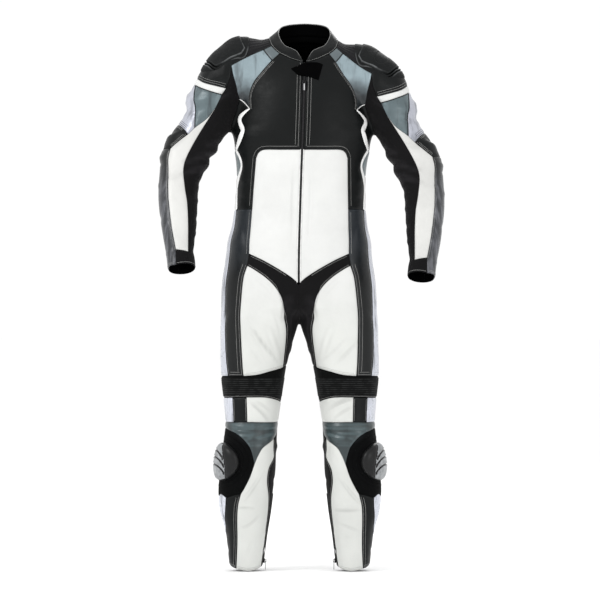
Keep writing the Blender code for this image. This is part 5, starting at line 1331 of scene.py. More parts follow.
SILVER = leather(
    "silver_leather", (0.44, 0.455, 0.515), 0.33, 0.4, 0.25, 0.1, None, 1.1, 0.5,
    painted_sheen_streak=((0.22, 0.23, 0.262), 60.0, 0.48, 0.74), painted_fold_shading=0.5,
)
THIGH_SILVER = leather(
    "streaked_silver_leather", (0.56, 0.58, 0.64), 0.3, 0.4, 0.25, 0.1, None, 1.2, 0.3,
    painted_sheen_streak=((0.2, 0.21, 0.235), 62.0, 0.5, 0.72), painted_fold_shading=0.5,
)
STRETCH = knit("stretch_fabric", (0.0043, 0.004, 0.0045), 0.8, 1.3, painted_fold_shading=2.6)
# crest is the colour of the painted highlights on the rib crests
RIBBED = knit("ribbed_stretch", (0.003, 0.0033, 0.0034), 0.75, 1.2, crest=(0.024, 0.025, 0.025), gloss=0.06)
KNEE_PAD = knit("knee_pad_fabric", (0.0016, 0.0018, 0.002), 0.8, 1.6, sheen=0.0, painted_fold_shading=4.0, gloss=0.07)
ACCORDION = knit("shoulder_stretch", (0.012, 0.012, 0.0135), 0.7, 1.3, 7.0)
THREAD = plain("grey_thread", (0.33, 0.33, 0.32), 0.6, grain=1500.0)
PIPING = plain("white_piping", (0.7, 0.7, 0.69), 0.4)
# whiter than the other white leather: painted brightness that makes up for the shade the flank stripe lies in
BRIGHTENED_STRIPE_WHITE = plain("stripe_white_painted_bright", (0.9, 0.9, 0.89), 0.42, change=0.03)
DARK_PIPING = plain("black_piping", (0.006, 0.006, 0.0065), 0.4, gloss=0.25)
# edge is the colour of the painted highlights on the cup's edges and ridges
HARD = plain(
    "cup_plastic", (0.0095, 0.0104, 0.0106), 0.6, grain=700.0, depth=0.00025, gloss=0.09,
    edge=(0.15, 0.156, 0.16),
)
PUCK_BLACK = plain("slider_black", (0.0045, 0.0048, 0.005), 0.38, grain=300.0, depth=0.0002, gloss=0.26)
PUCK_GREY = plain("slider_grey", (0.24, 0.25, 0.258), 0.4, grain=220.0, depth=0.0004, change=0.3)
FUZZ = plain("hook_and_loop", (0.0012, 0.0012, 0.0013), 0.97, grain=900.0, depth=0.0008, gloss=0.02)
TAPE = plain("zip_tape", (0.006, 0.006, 0.0065), 0.75, grain=1200.0, depth=0.0002, gloss=0.2)
TEETH = plain("zip_teeth", (0.03, 0.03, 0.032), 0.35, 0.6)
DARK_STEEL = plain("dark_steel", (0.12, 0.12, 0.125), 0.35, 0.9, grain=900.0, depth=0.00005)
BLACK_STEEL = plain("black_steel", (0.012, 0.012, 0.013), 0.4, 0.8, grain=600.0, change=0.3)

# piece: finish, thickness, solids it stands for, spacing across and along, where they aren't the usual
SPACING = (5.6, 5.0)
PIECES = {
    "chest": (BLACK, 1.3, "chest"),
    "wedge": (PEARL, 1.3, "wedge"),
    "wedge_patch": (PATCH, 1.3, "wedge"),
    "belly": (WHITE, 1.3, "belly"),
    "sleeve_cap": (BLACK, 1.3, "sleeve_cap"),
    "arm_band": (WHITE, 1.3, "arm_band"),
    "upper_arm_grey": (ARM_PEARL, 1.3, "upper_arm_grey"),
    "upper_arm_silver": (SILVER, 1.3, "upper_arm_silver"),
    "elbow": (BLACK, 1.3, "elbow_forearm"),
    "forearm": (FOREARM, 1.3, "elbow_forearm"),
    "forearm_white": (ARM_WHITE, 1.3, "forearm_white"),
    "inner_sleeve": (STRETCH, 1.0, "inner_sleeve"),
    "groin": (STRETCH, 1.0, "groin"),
    "thigh_front": (WHITE, 1.3, "thigh_front"),
    "thigh_side": (SIDE_GLOSS, 1.3, "thigh_side"),
    "thigh_silver": (THIGH_SILVER, 1.3, "thigh_silver"),
    "shoulder_stretch": (ACCORDION, 1.3, "back"),
    "side_slate": (ARM_PEARL, 1.3, "back"),
    "side_white": (WHITE, 1.3, "back"),
    "seat": (BLACK, 1.3, "seat"),
    "knee_band": (RIBBED, 1.2, "knee_band"),
    "row_white": (WHITE, 1.3, "above_knee"),
    "row_black": (BLACK, 1.3, "above_knee"),
    "row_silver": (THIGH_SILVER, 1.3, "above_knee"),
    "knee_yoke": (YOKE, 1.3, "knee_yoke"),
    "slider_base": (KNEE_PAD, 1.3, "slider_base"),
    "shin_white": (WHITE, 1.3, "shin_white"),
    "shin_side": (BLACK, 1.3, "shin_side"),
    "shin_silver": (THIGH_SILVER, 1.3, "shin_side"),
    "calf": (STRETCH, 1.0, "calf"),
    "back": (BLACK, 1.3, "back"),
    "lumbar": (RIBBED, 1.2, "lumbar"),
}
FINER = {
    "thigh_front": (3.6, 3.1), "shin_white": (3.6, 3.1), "row_white": (3.6, 3.1), "knee_yoke": (3.6, 3.1),
    "knee_band": (5.0, 0.96), "lumbar": (5.6, 1.08),
}


def worn(points, out, lift, side):
    """Surface points lifted off the form, on their own side and in the suit's pose."""
    return posed(mirrored(points + out * np.reshape(lift, (-1, 1)), side))


def outlined(name, seams):
    """A piece's chart, and the ring of seam points round it."""
    kind, middle, names = {**PANELS, **WHOLE_PANELS}[name]
    return Chart(kind, middle), outline_of(names.split(), seams)


def sew(name, seams):
    """Makes a piece on both sides."""
    finish, thick, node_name = PIECES[name]
    chart, ring = outlined(name, seams)
    across, along = FINER.get(name, SPACING)
    points, faces, flat, depth = sheet_mesh(name, chart, ring, across, along)
    size, area = cut_size(points, faces, flat)
    out = normals(points)
    for side in "RL":
        lift = relief(points, side, name)
        # how steep the folds stand, for the painted fold shading of the finishes
        folded = np.zeros(len(points)) if name in RIBS else steep_at(points, faces, lift)
        lift = lift + rolled(depth) + uneven(mirrored(points, side))
        rise = rib_at(points, name) if name in RIBS else None
        body = worn(points, out, lift, side)
        turned = turned_for(faces, side)
        obj = cloth_object(f"{name}_{side}", body, turned, flat, depth, finish, thick, False, rise, folded)
        declare(obj, f"{node_name}_{side}" if node_name not in ("back", "lumbar") else node_name)


def sew_whole(name, seams):
    """Makes a piece that crosses the middle of the back, from its half."""
    finish, thick, node_name = PIECES[name]
    chart, ring = outlined(name, seams)
    across, along = FINER.get(name, SPACING)
    points, faces, flat, _ = sheet_mesh(name, chart, ring, across, along)
    edge = ring[np.abs(ring[:, 0]) > 0.01]
    depth = np.array([np.linalg.norm(edge - p, axis=1).min() for p in points])
    size, area = cut_size(points, faces, flat)
    out = normals(points)
    halves = []
    for side in "RL":
        lift = relief(points, side, name) + rolled(depth) + uneven(mirrored(points, side))
        halves.append(worn(points, out, lift, side))
    n = len(points)
    steep = np.zeros(n) if name in RIBS else steep_at(points, faces, relief(points, "L", name))
    folded = np.tile(steep, 2)
    faces = [f[::-1] for f in faces] + [[i + n for i in f] for f in faces]
    flat = np.vstack([flat * (-1, 1), flat])
    depth = np.tile(depth, 2)
    rise = np.tile(rib_at(points, name), 2) if name in RIBS else None
    obj = cloth_object(name, np.vstack(halves), faces, flat, depth, finish, thick, True, rise, folded)
    declare(obj, node_name)


def declare(obj, node_name):
    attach(obj, SUIT)
    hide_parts(node_name)


# ---- trims: lines laid along the seams ---------------------------------------------------------------


def evenly(line, step):
    """The line with its points about a step apart, or nothing where it is shorter than a step."""
    whole = length_along(line)[-1]
    if whole < step:
        return None
    return read_along(line, np.linspace(0, whole, max(2, int(round(whole / step)) + 1)))


def stamped(template, middle, first, second, out, size, lift=0.0):
    """One copy of a small form at each middle, its own axes laid along three ways."""
    verts, faces = template
    spots = (
        middle[:, None]
        + first[:, None] * (verts[:, :1] * size[0])
        + second[:, None] * (verts[:, 1:2] * size[1])
        + out[:, None] * (verts[:, 2:] * size[2] + np.reshape(lift, (-1, 1, 1)))
    )
    faces = (faces[None] + np.arange(len(middle))[:, None, None] * len(verts)).reshape(-1, 3)
    return spots.reshape(-1, 3), faces


def pipe_faces(count, sides):
    """Faces of a closed pipe: so many rings, with so many sides."""
    faces = [
        [i * sides + j, i * sides + (j + 1) % sides, (i + 1) * sides + (j + 1) % sides, (i + 1) * sides + j]
        for i in range(count - 1)
        for j in range(sides)
    ]
    return faces + [list(range(sides))[::-1], [(count - 1) * sides + j for j in range(sides)]]


def stitch_template():
    """One stitch, lying along x: a thin rounded bar."""
    bm = bmesh.new()
    bmesh.ops.create_cone(bm, cap_ends=True, segments=5, radius1=0.5, radius2=0.5, depth=1.0)
    bmesh.ops.rotate(bm, verts=bm.verts, matrix=Matrix.Rotation(math.radians(90), 3, "Y"))
    caps = [f for f in bm.faces if len(f.verts) == 5]
    bmesh.ops.inset_individual(bm, faces=caps, thickness=0.22, depth=0.12)
    bmesh.ops.triangulate(bm, faces=bm.faces)
    bm.verts.index_update()
    verts = np.array([v.co[:] for v in bm.verts])
    faces = [[v.index for v in f.verts] for f in bm.faces]
    bm.free()
    return verts, np.array(faces)


STITCH = (3.5, 3.05, 0.66, 0.42)  # length, pitch, width and height of a stitch


def stitches_along(line, side, depth_of, piece):
    """Points and faces of a row of stitches on a surface line."""
    length, pitch, wide, high = STITCH
    line = evenly(line, pitch)
    if line is None:
        return None
    middle = settle((line[:-1] + line[1:]) / 2, 2)
    out = normals(middle)
    along = line[1:] - line[:-1]
    along = unit(along - (along * out).sum(1)[:, None] * out)
    lift = relief(middle, side, piece) + rolled(depth_of) + uneven(mirrored(middle, side)) + high * 0.25
    size = (length, wide, high)
    return one_side(*stamped(TEMPLATE, middle, along, np.cross(out, along), out, size, lift), side)


def joined(name, parts, material, body=SUIT, smooth=True):
    """Several point and face lists as one mesh object, on a body."""
    parts = [p for p in parts if p is not None]
    verts, faces, start = [], [], 0
    for spots, rows in parts:
        verts.append(spots)
        faces += [[int(i) + start for i in row] for row in rows]
        start += len(spots)
    mesh = bpy.data.meshes.new(name)
    mesh.from_pydata((np.vstack(verts) * MM).tolist(), [], faces)
    mesh.validate()
    if smooth:
        mesh.shade_smooth()
    obj = bpy.data.objects.new(name, mesh)
    bpy.context.scene.collection.objects.link(obj)
    obj.data.materials.append(material)
    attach(obj, body)
    return obj


def bead(line, side, width, height, lift=0.0, piece=""):
    """A rounded bead or flat ribbon along a surface line, with one width and height or one for each point."""
    out = normals(line)
    across = np.cross(out, ways_along(line))
    width, height = np.broadcast_to(width, len(line)), np.broadcast_to(height, len(line))
    turn = np.linspace(0, 2 * math.pi, 10, endpoint=False)
    sideways = np.sign(np.cos(turn)) * np.abs(np.cos(turn)) ** 0.7 / 2
    upward = np.maximum(np.sin(turn), -0.35)
    base = relief(line, side, piece) + uneven(mirrored(line, side)) + lift
    spots = (
        line[:, None]
        + across[:, None] * (sideways[:, None] * width[:, None, None])
        + out[:, None] * (upward[:, None] * height[:, None, None] + base[:, None, None])
    )
    return one_side(spots.reshape(-1, 3), pipe_faces(len(line), len(turn)), side)


# piece the row lies on, seams, how far in from them, in millimetres
STITCHING = [
    ("chest", ["zip_chest"], (6.6, 14.6)),
    ("chest", ["belly_top", "belly_side"], (8.2,)),
    ("thigh_side", ["belly_hip"], (7.0,)),
    ("chest", ["wedge_chest"], (2.6, 6.4)),
    ("sleeve_cap", ["band_top"], (5.6, 11.6)),
    ("elbow", ["elbow_top"], (3.0, 6.4)),
    ("elbow", ["white_elbow"], (3.2, 7.4)),
    ("forearm", ["white_out"], (3.2,)),
    ("forearm", ["cuff_outer"], (4.0, 7.5)),
    ("inner_sleeve", ["cuff_inner"], (4.0,)),
    ("groin", ["hip_top"], (4.0,)),
    ("groin", ["thigh_in"], (4.0,)),
    ("groin", ["crotch_front"], (2.5,)),
    ("thigh_front", ["knee_top"], (3.2, 6.8)),
    ("thigh_side", ["thigh_out"], (3.4, 12.4)),
    ("thigh_side", ["knee_top_side"], (3.2, 9.6)),
    ("thigh_silver", ["knee_top_silver"], (3.2, 9.6)),
    ("knee_band", ["knee_low", "knee_low_black", "knee_low_silver"], (3.4,)),
    ("thigh_side", ["side_silver"], (3.2,)),
    ("seat", ["thigh_rear"], (3.2, 6.6)),
    ("seat", ["lumbar_side", "lumbar_foot"], (3.2,)),
    ("seat", ["knee_back"], (3.2, 6.6)),
    ("seat", ["seat_middle"], (2.8,)),
    ("row_black", ["row_cross_in", "row_cross_out"], (3.0,)),
    ("shin_side", ["shin_out"], (3.4, 9.5)),
    ("shin_side", ["side_hem"], (4.0, 8.0)),
    ("shin_white", ["shin_hem"], (4.0, 8.0)),
    ("calf", ["calf_hem"], (4.0, 8.0)),
    ("calf", ["shin_in"], (3.0,)),
    ("back", ["neck_yoke"], (3.2,)),
    ("back", ["stretch_rear"], (3.2,)),
    ("back", ["waist_back"], (3.2, 6.6)),
    ("back", ["hole_back_low"], (3.2, 6.6)),
    ("back", ["side_rear_slate", "side_rear_white"], (3.2,)),
]
# rows that follow no seam: piece, view, places along them
FREE_ROWS = [
    ("back", "B", [(30, -60), (96, -110), (150, -190)]),
    ("back", "B", [(34, -54), (100, -104), (154, -182)]),
]


def flat_outline(piece, seams):
    """A piece's chart, and its ring laid flat on it."""
    chart, ring = outlined(piece, seams)
    return chart, chart.flat(ring)


def row_beside(seams, piece, name, offset):
    """A line on a piece beside one of its seams."""
    chart, flat = flat_outline(piece, seams)
    seam = seams[name]
    side = np.cross(normals(seam), ways_along(seam))
    half = len(seam) // 2
    trial = chart.flat(settle(seam[half : half + 1] + side[half : half + 1] * 2.5))
    if from_ring(trial, flat)[0] < 0:
        side = -side
    line = settle(seam + side * offset)
    keep = from_ring(chart.flat(line), flat) > offset * 0.75
    return line[keep]


def make_stitching(seams):
    for side in "RL":
        rows = []
        for piece, names, offsets in STITCHING:
            for name in names:
                for offset in offsets:
                    line = row_beside(seams, piece, name, offset)
                    if len(line) > 2:
                        rows.append(stitches_along(line, side, offset, piece))
        for piece, view, places in FREE_ROWS:
            line = settle(traced(view, places, 40))
            rows.append(stitches_along(line, side, 20.0, piece))
        joined(f"topstitching_{side}", rows, THREAD)


TEMPLATE = stitch_template()
STRIPE = [
    (0.0, 3.6), (0.05, 9.0), (0.12, 15.0), (0.36, 16.5), (0.5, 11.0), (0.6, 9.0), (0.72, 13.0),
    (0.85, 15.0), (1.0, 14.0),
]


def make_stripes(seams):
    """The white stripe down each flank, and the fine white piping above it."""
    line = np.vstack([seams["flank"][:-1], seams["flank_slate"][:-1], seams["flank_white"]])
    line = evenly(line, 5.0)
    share = np.linspace(0, 1, len(line))
    width = np.interp(share, *np.array(STRIPE).T)
    side_way = np.cross(normals(line), ways_along(line))
    side_way *= np.sign(side_way[len(line) // 2, 0])
    middle = settle(line + side_way * (width * 0.04)[:, None])
    foot = evenly(seams["wedge_foot"], 4.0)
    for side in "RL":
        obj = joined(f"flank_stripe_{side}", [bead(middle, side, width, 0.9, 0.5)], BRIGHTENED_STRIPE_WHITE)
        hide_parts("back")
        joined(f"flank_piping_{side}", [bead(foot, side, 2.6, 1.5, -0.4)], PIPING)


# dark slots down the thigh's silver: degrees round the leg, height
SLOTS = [[(82, -588), (83, -640), (84, -694)], [(84, -742), (85, -780), (86, -824)]]


# seams with black piping
DARK_PIPED = (
    "wedge_chest wedge_chest_neck wedge_cross belly_top belly_side wedge_top_neck wedge_top_in wedge_top_out "
    "side_silver thigh_out shin_cross band_low_grey grey_silver row_cross_out"
)


def make_piping(seams):
    dark = [seams[name] for name in DARK_PIPED.split()]
    for side in "RL":
        white = bead(evenly(seams["zip_belly"], 5.0), side, 3.0, 1.6, -0.3, "belly")
        joined(f"belly_piping_{side}", [white], PIPING)
        rows = [row_beside(seams, "upper_arm_silver", "elbow_top", away) for away in (3.6, 8.2, 12.8)]
        rows = [bead(r, side, 1.5, 0.8, -0.2, "upper_arm_silver") for r in rows]
        slots = [settle(traced("leg", spots, 24)) for spots in SLOTS]
        rows += [bead(slot, side, 2.6, 1.2, -0.3, "thigh_silver") for slot in slots]
        beads = [bead(evenly(s, 5.0), side, 2.2, 1.3, -0.6) for s in dark]
        joined(f"seam_piping_{side}", beads + rows, DARK_PIPING)


# ---- collar, tab and front zip -----------------------------------------------------------------------


def smooth_run(points, count):
    """An even run of points along a smooth curve through the given ones."""
    return even_run(rounded(np.array(points, float), 10), count)


def make_collar(seams):
    columns, rows = 64, 12
    parts = [seams[name][:-1] for name in ("neck_chest", "neck_wedge", "neck_stretch")]
    base = even_run(np.vstack(parts + [seams["neck_yoke"]]), columns)
    top = smooth_run(COLLAR_TOP, columns)
    skin = normals(base)
    lines = []
    for t in np.linspace(0, 1, rows):
        bow = COLLAR_SWELL * math.sin(math.pi * t) + rolled(np.array([t * 30.0]))[0] * (t < 0.5)
        lines.append(base + t * (top - base) + skin * (1, 1, 0) * bow)
    outer = np.array(lines)
    out = np.cross(np.gradient(outer, axis=1), np.gradient(outer, axis=0))
    out /= np.linalg.norm(out, axis=2)[..., None]
    if (out[rows // 2] * skin).sum() < 0:
        out = -out
    # the top edge rolls over inward, and a facing goes down inside
    tall = np.linalg.norm(top - base, axis=1)[None, :, None]
    up = (top - base)[None] / tall
    edge = outer[-1:]
    roll = [edge + up * h - out[-1:] * i for h, i in ((1.2, 0.5), (1.7, 1.6), (1.2, 2.8), (0.0, 3.3))]
    facing = [outer[k : k + 1] - out[k : k + 1] * 3.3 for k in range(rows - 2, 1, -2)]
    tuck = np.array([base - skin * i - (0, 0, h) for i, h in ((4.5, 9.0), (3.6, 3.0))])
    sheet = np.vstack([tuck, outer, *roll, *facing])
    sheet[:, -1, 0] = 0.0
    tall_rows = len(sheet)
    verts = sheet.reshape(-1, 3)
    faces = grid_faces(tall_rows, columns)
    a, b, c = (verts[i] for i in faces[columns * 5][:3])
    if np.cross(b - a, c - a) @ out.reshape(-1, 3)[columns * 4] < 0:
        faces = [f[::-1] for f in faces]
    n = len(verts)
    both = np.vstack([posed(verts * (-1, 1, 1)), posed(verts)])
    faces = [f[::-1] for f in faces] + [[i + n for i in f] for f in faces]
    climb = np.concatenate([[0, 0], np.linspace(0, 32, rows), np.full(tall_rows - rows - 2, 30.0)])
    climb = np.repeat(climb, columns)
    across = np.tile(np.linspace(0, 1, columns) * 250.0, tall_rows)
    flat = np.stack([across, climb], axis=1)
    flat = np.vstack([flat * (-1, 1), flat])
    obj = cloth_object("collar", both, faces, flat, np.tile(climb, 2), BLACK, 1.0, weld=True)
    for face, corner in zip(obj.data.polygons, faces):
        if min(i % n for i in corner) >= (rows + 5) * columns:
            face.material_index = 1
    a, b, c = (both[corner] for corner in np.array(triangles(faces)).T)
    declare(obj, "collar")
    # light thread along the foot, and a bead on the rim
    parts = [stitch_row(even_run(outer[1], 120), even_run(out[1], 120), side) for side in "RL"]
    joined("collar_stitching", parts, THREAD)
    rim = [tube_along(even_run(roll[1][0], 90), 1.15, side, 8) for side in "RL"]
    joined("collar_piping", rim, plain("rim_piping", (0.24, 0.24, 0.235), 0.5, gloss=0.2))


def stitch_row(line, out, side):
    """A row of stitches on a line off the worn surface, with its own outward ways."""
    wide, high = STITCH[2:]
    middle = (line[:-1] + line[1:]) / 2
    out = unit((out[:-1] + out[1:]) / 2)
    along = line[1:] - line[:-1]
    step = np.linalg.norm(along, axis=1).mean()
    along = unit(along)
    size = (step * 0.7, wide, high)
    return one_side(*stamped(TEMPLATE, middle, along, np.cross(out, along), out, size, 0.25), side)


def tube_along(line, radius, side, sides=6):
    """A round tube along a free line."""
    run = ways_along(line)
    first = unit(np.cross(run, (0.3, 0.2, 1.0)))
    second = np.cross(run, first)
    turn = np.linspace(0, 2 * math.pi, sides, endpoint=False)
    round_it = first[:, None] * np.cos(turn)[:, None] + second[:, None] * np.sin(turn)[:, None]
    spots = line[:, None] + radius * round_it
    return one_side(spots.reshape(-1, 3), pipe_faces(len(line), sides), side)


def make_tab():
    """The fuzzy hook-and-loop tab over the top of the zip, its pointed end at the wearer's right."""
    columns, rows = 44, 22
    top, foot = (smooth_run(np.array(edge, float), columns) for edge in TAB)
    share = np.linspace(0, 1, rows)[:, None, None]
    flat = (foot + (top - foot) * share).reshape(-1, 2)
    points = from_front(*flat.T)
    out = normals(points)
    ring = np.vstack([foot, top[::-1]])
    edge = np.maximum(from_ring(flat, ring), 0)
    lift = 0.9 + TAB_THICK * np.clip(edge / 2.0, 0.25, 1) ** 0.5 + uneven(points * 8) * 0.7
    faces = grid_faces(rows, columns)
    a, b, c = (points[i] for i in faces[5][:3])
    if np.cross(b - a, c - a) @ out[faces[5][0]] < 0:
        faces = [f[::-1] for f in faces]
    body = worn(points, out, lift, "L")
    obj = cloth_object("collar_tab", body, faces, flat, np.full(len(points), 8.0), FUZZ, TAB_THICK)
    size, area = cut_size(points, triangles(faces), flat)
    declare(obj, "collar_tab")


def front_line(out, top, foot, step):
    """A line down the front of the surface, from its top to its foot."""
    heights = np.arange(top, foot, -step)
    return from_front(np.full(len(heights), float(out)), heights)


def tooth_template():
    """One coil of a zip, lying along x, with a rounded head."""
    bm = bmesh.new()
    bmesh.ops.create_cube(bm, size=1.0)
    ends = [e for e in bm.edges if abs(e.verts[0].co.x - e.verts[1].co.x) < 0.1]
    bmesh.ops.bevel(bm, geom=ends, offset=0.16, segments=1, affect="EDGES", profile=0.5, material=-1)
    bmesh.ops.triangulate(bm, faces=bm.faces)
    bm.verts.index_update()
    verts = np.array([v.co[:] for v in bm.verts])
    faces = np.array([[v.index for v in f.verts] for f in bm.faces])
    bm.free()
    # the bevel lists its corners in no fixed order, so they are put in one
    order = np.lexsort(verts.round(4).T)
    faces = np.argsort(order)[faces]
    faces = np.array(sorted(np.roll(f, -int(f.argmin())).tolist() for f in faces))
    return verts[order], faces


def zip_teeth(line, size, pitch, lift):
    """Two rows of teeth in step along a line: points and faces."""
    line = evenly(line, pitch / 2)
    out = normals(line)
    along = ways_along(line)
    across = np.cross(out, along)
    hand = np.where(np.arange(len(line)) % 2, 1.0, -1.0)[:, None]
    middle = line + across * hand * size[0] * 0.3 + out * lift
    return stamped(tooth_template(), middle, across, along, out, size)


def make_front_zip():
    top, foot = ZIP_RUN
    line = front_line(0.0, top, foot, 2.0)
    spots, faces = zip_teeth(line, (2.6, 1.1, 1.5), 2.4, 0.5)
    joined("front_zip_teeth", [(posed(spots), faces)], TEETH)


def domed(name, chart, ring, spacing, height_of, material, node_name, second=None, lines=None, ease=0):
    """A pad lying on the form inside a ring of surface points. height_of gives its height, and the painted
    light on it, highlights above nought and shade below, from the points and how far in from the rim they
    lie."""
    points, faces, _, depth = sheet_mesh(name, chart, ring, spacing, spacing * 0.87, lines)
    out = normals(points)
    count = len(ring)
    rim = [(i, (i + 1) % count) for i in range(count)]
    n = len(points)
    body = list(faces) + [[i + n for i in f[::-1]] for f in faces] + [[b, a, a + n, b + n] for a, b in rim]
    high, painted_light_at = height_of(points, depth)
    sunk = smoothing(points, faces, out, depth, ease)
    for side in "RL":
        foot = relief(points, side) - 1.2
        verts = np.vstack([points + out * (foot + (high + sunk))[:, None], points + out * foot[:, None]])
        verts, turned = one_side(verts, body, side)
        obj = joined(f"{name}_{side}", [(verts, turned)], material)
        # the edge attribute carries the painted highlights and painted shade
        edge = obj.data.attributes.new("edge", "FLOAT", "POINT")
        edge.data.foreach_set("value", np.concatenate([painted_light_at, np.zeros(n)]))
        if second:
            paint, chosen = second
            obj.data.materials.append(paint)
            picked = chosen(points, depth)
            for face, rows in zip(obj.data.polygons, turned):
                if all(i < n and picked[i] for i in rows):
                    face.material_index = 1
        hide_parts(f"{node_name}_{side}")


def smoothing(points, faces, out, depth, rounds):
    """How far each point moves along its outward way when the form under a pad is eased, its rim kept."""
    ends = np.array([(f[i], f[i - 1]) for f in faces for i in range(3)])
    ends = np.vstack([ends, ends[:, ::-1]])
    times = np.bincount(ends[:, 0], minlength=len(points))
    now = points.copy()
    for _ in range(rounds):
        total = [np.bincount(ends[:, 0], now[ends[:, 1], k], len(points)) for k in range(3)]
        mean = np.stack(total, axis=1) / times[:, None]
        move = ((mean - now) * out).sum(1) * np.clip(depth / 12.0, 0, 1) * 0.8
        now += out * move[:, None]
    return ((now - points) * out).sum(1)


def step_at(value, edge, soft):
    return 1 / (1 + np.exp(np.clip(-(value - edge) / soft, -40, 40)))


# shoulder cup's raised plate as seen from the front: outward and up; it runs on over the top and round to
# the back alike
PLATE = [
    (158, 70), (167, 32), (157, 10), (152, -2), (161, -16), (188, -27), (205, -38), (226, -49), (232, -47),
    (243, -37), (260, -31), (330, -31), (330, 70),
]
PLATE_RISE = 2.6
CUP_GROOVE = 9.5  # how far below the plate's edge the groove between the ridges runs
BESIDE_EDGE = (-2.2, -0.7, 0.7, 1.9)  # rows of mesh points to either side of the plate's edge
DIMPLE = (211.0, -5.0, 16.5)  # round dimple on the plate's front: outward, height, radius


def cup_height(points, depth):
    """A hard cup: low rounded flange, raised plate with a lipped edge, a ringed dimple and stepped ridges;
    also the painted highlights and painted shade on it.
    """
    plate = from_ring(points[:, [0, 2]], np.array(PLATE, float))
    out, up = points[:, 0], points[:, 2]
    end = step_at(out, 222.0, 4.0) * step_at(-plate, 0.0, 0.6)
    outer = np.clip((out - 178) / 62, 0, 1)
    height = 1.4 + 2.4 * (1 - np.exp(-depth / 1.4))
    height += (0.4 + 1.2 * outer) * (1 - np.exp(-((depth / 14.0) ** 2)))
    height += PLATE_RISE * step_at(plate, 0.0, 0.3)
    plain_top = 1 - 0.85 * step_at(up, 18.0, 3.0)
    height -= plain_top * (1.2 + 1.2 * step_at(out, 214.0, 5.0)) * np.exp(-(((plate + 2.2) / 1.3) ** 2))
    height += plain_top * 0.5 * np.exp(-(((plate - 1.8) / 1.0) ** 2))
    height -= plain_top * 0.4 * np.exp(-(((plate - 4.6) / 1.3) ** 2))
    height += 1.8 * end * step_at(-plate, 3.6, 0.7) * (1 - np.exp(-depth / 3.0))
    d = np.hypot(out - DIMPLE[0], up - DIMPLE[1])
    front = step_at(-points[:, 1], 6.0, 4.0)
    height -= front * (1.3 * (1 - step_at(d, DIMPLE[2], 0.5)) + 1.1 * np.exp(-(((d - DIMPLE[2]) / 1.1) ** 2)))
    # painted highlight along the plate's lipped edge, strongest towards its inner, lower side
    inner = np.clip((214 - out) / 16, 0, 1) * np.clip((14 - up) / 12, 0, 1)
    painted_light_at = np.exp(-(((plate - 1.3) / 1.1) ** 2)) * (0.12 + 0.88 * inner)
    # painted highlight along the flange's rim at the cup's inner, lower side
    low_inner = np.clip((190 - out) / 12, 0, 1) * np.clip((8 - up) / 12, 0, 1)
    painted_light_at += 0.8 * np.exp(-(((depth - 2.2) / 1.2) ** 2)) * low_inner
    height -= 2.6 * end * np.exp(-(((plate + CUP_GROOVE) / 1.6) ** 2))
    # two ridges below the plate's outer end, with painted glints on them towards the outer side
    for away in (5.9, 12.6):
        height += 0.5 * end * np.exp(-(((plate + away) / 1.5) ** 2))
        painted_light_at += end * np.exp(-(((plate + away) / 1.3) ** 2)) * np.clip((out - 236) / 14, 0.05, 1)
    # painted shade in the groove under the plate's outer end and in the one between the ridges
    hollows = np.exp(-(((plate + 2.2) / 2.0) ** 2)) + np.exp(-(((plate + CUP_GROOVE) / 1.7) ** 2))
    painted_light_at = np.clip(painted_light_at, 0, 1) - end * hollows
    return height, painted_light_at


def plate_lines():
    """Rows of points close beside the plate's edge and the dimple's, on the cup's front."""
    edge = even_run(np.array(PLATE[1:-2], float), 90)
    run = np.gradient(edge, axis=0)
    off = np.stack([-run[:, 1], run[:, 0]], axis=1) / np.linalg.norm(run, axis=1)[:, None]
    turn = np.linspace(0, 2 * math.pi, 48, endpoint=False)
    ring = np.stack([np.cos(turn), np.sin(turn)], axis=1)
    rows = [edge + off * away for away in BESIDE_EDGE]
    rows += [np.array(DIMPLE[:2]) + ring * (DIMPLE[2] + away) for away in (-1.0, 1.0)]
    rows = np.vstack(rows)
    deep = np.arange(-160.0, 120.0, 7.0)
    spots = np.array([(out, back, up) for out, up in rows for back in deep])
    rows = rows[field(spots).reshape(len(rows), -1).min(1) < -1.5]
    points = from_front(*rows.T)
    points = points[points[:, 1] < 25]
    deep = np.arange(-34.0, 34.0, 2.0)
    over = np.array([(167 + away, back, 300.0) for away in BESIDE_EDGE for back in deep])
    over = first_wall(over, np.tile((0.0, 0.0, -1.0), (len(over), 1)), leaving=False)
    return np.vstack([points[points[:, 2] < 28], over[over[:, 2] > 29.5]])


def puck_turn(points):
    return np.degrees(np.arctan2(points[:, 0] - 139, -31 - points[:, 1]))


# degrees round the leg where the puck's grey half meets the black one, and how far the line bows
PUCK_SPLIT = (45.0, 9.0)
GROOVES = (31.0, 12.0, -8.0)  # heights of the puck's grooves at its outer side, from its middle


def groove_at(points):
    """How far places on the puck lie from the nearest hooked groove, and how far out from the divide."""
    up = points[:, 2] - PUCK_CENTRE[1]
    out = puck_turn(points) - PUCK_SPLIT[0] + PUCK_SPLIT[1] * (1 - np.clip(up / 48, -1, 1) ** 2)
    bend = 30.0 * np.exp(-np.clip(out, -2, 60) / 7.0)
    steep = np.hypot(1.0, bend / 7.0 / 1.1)
    return (np.abs((up + bend)[:, None] - np.array(GROOVES)) / steep[:, None]).min(1), out


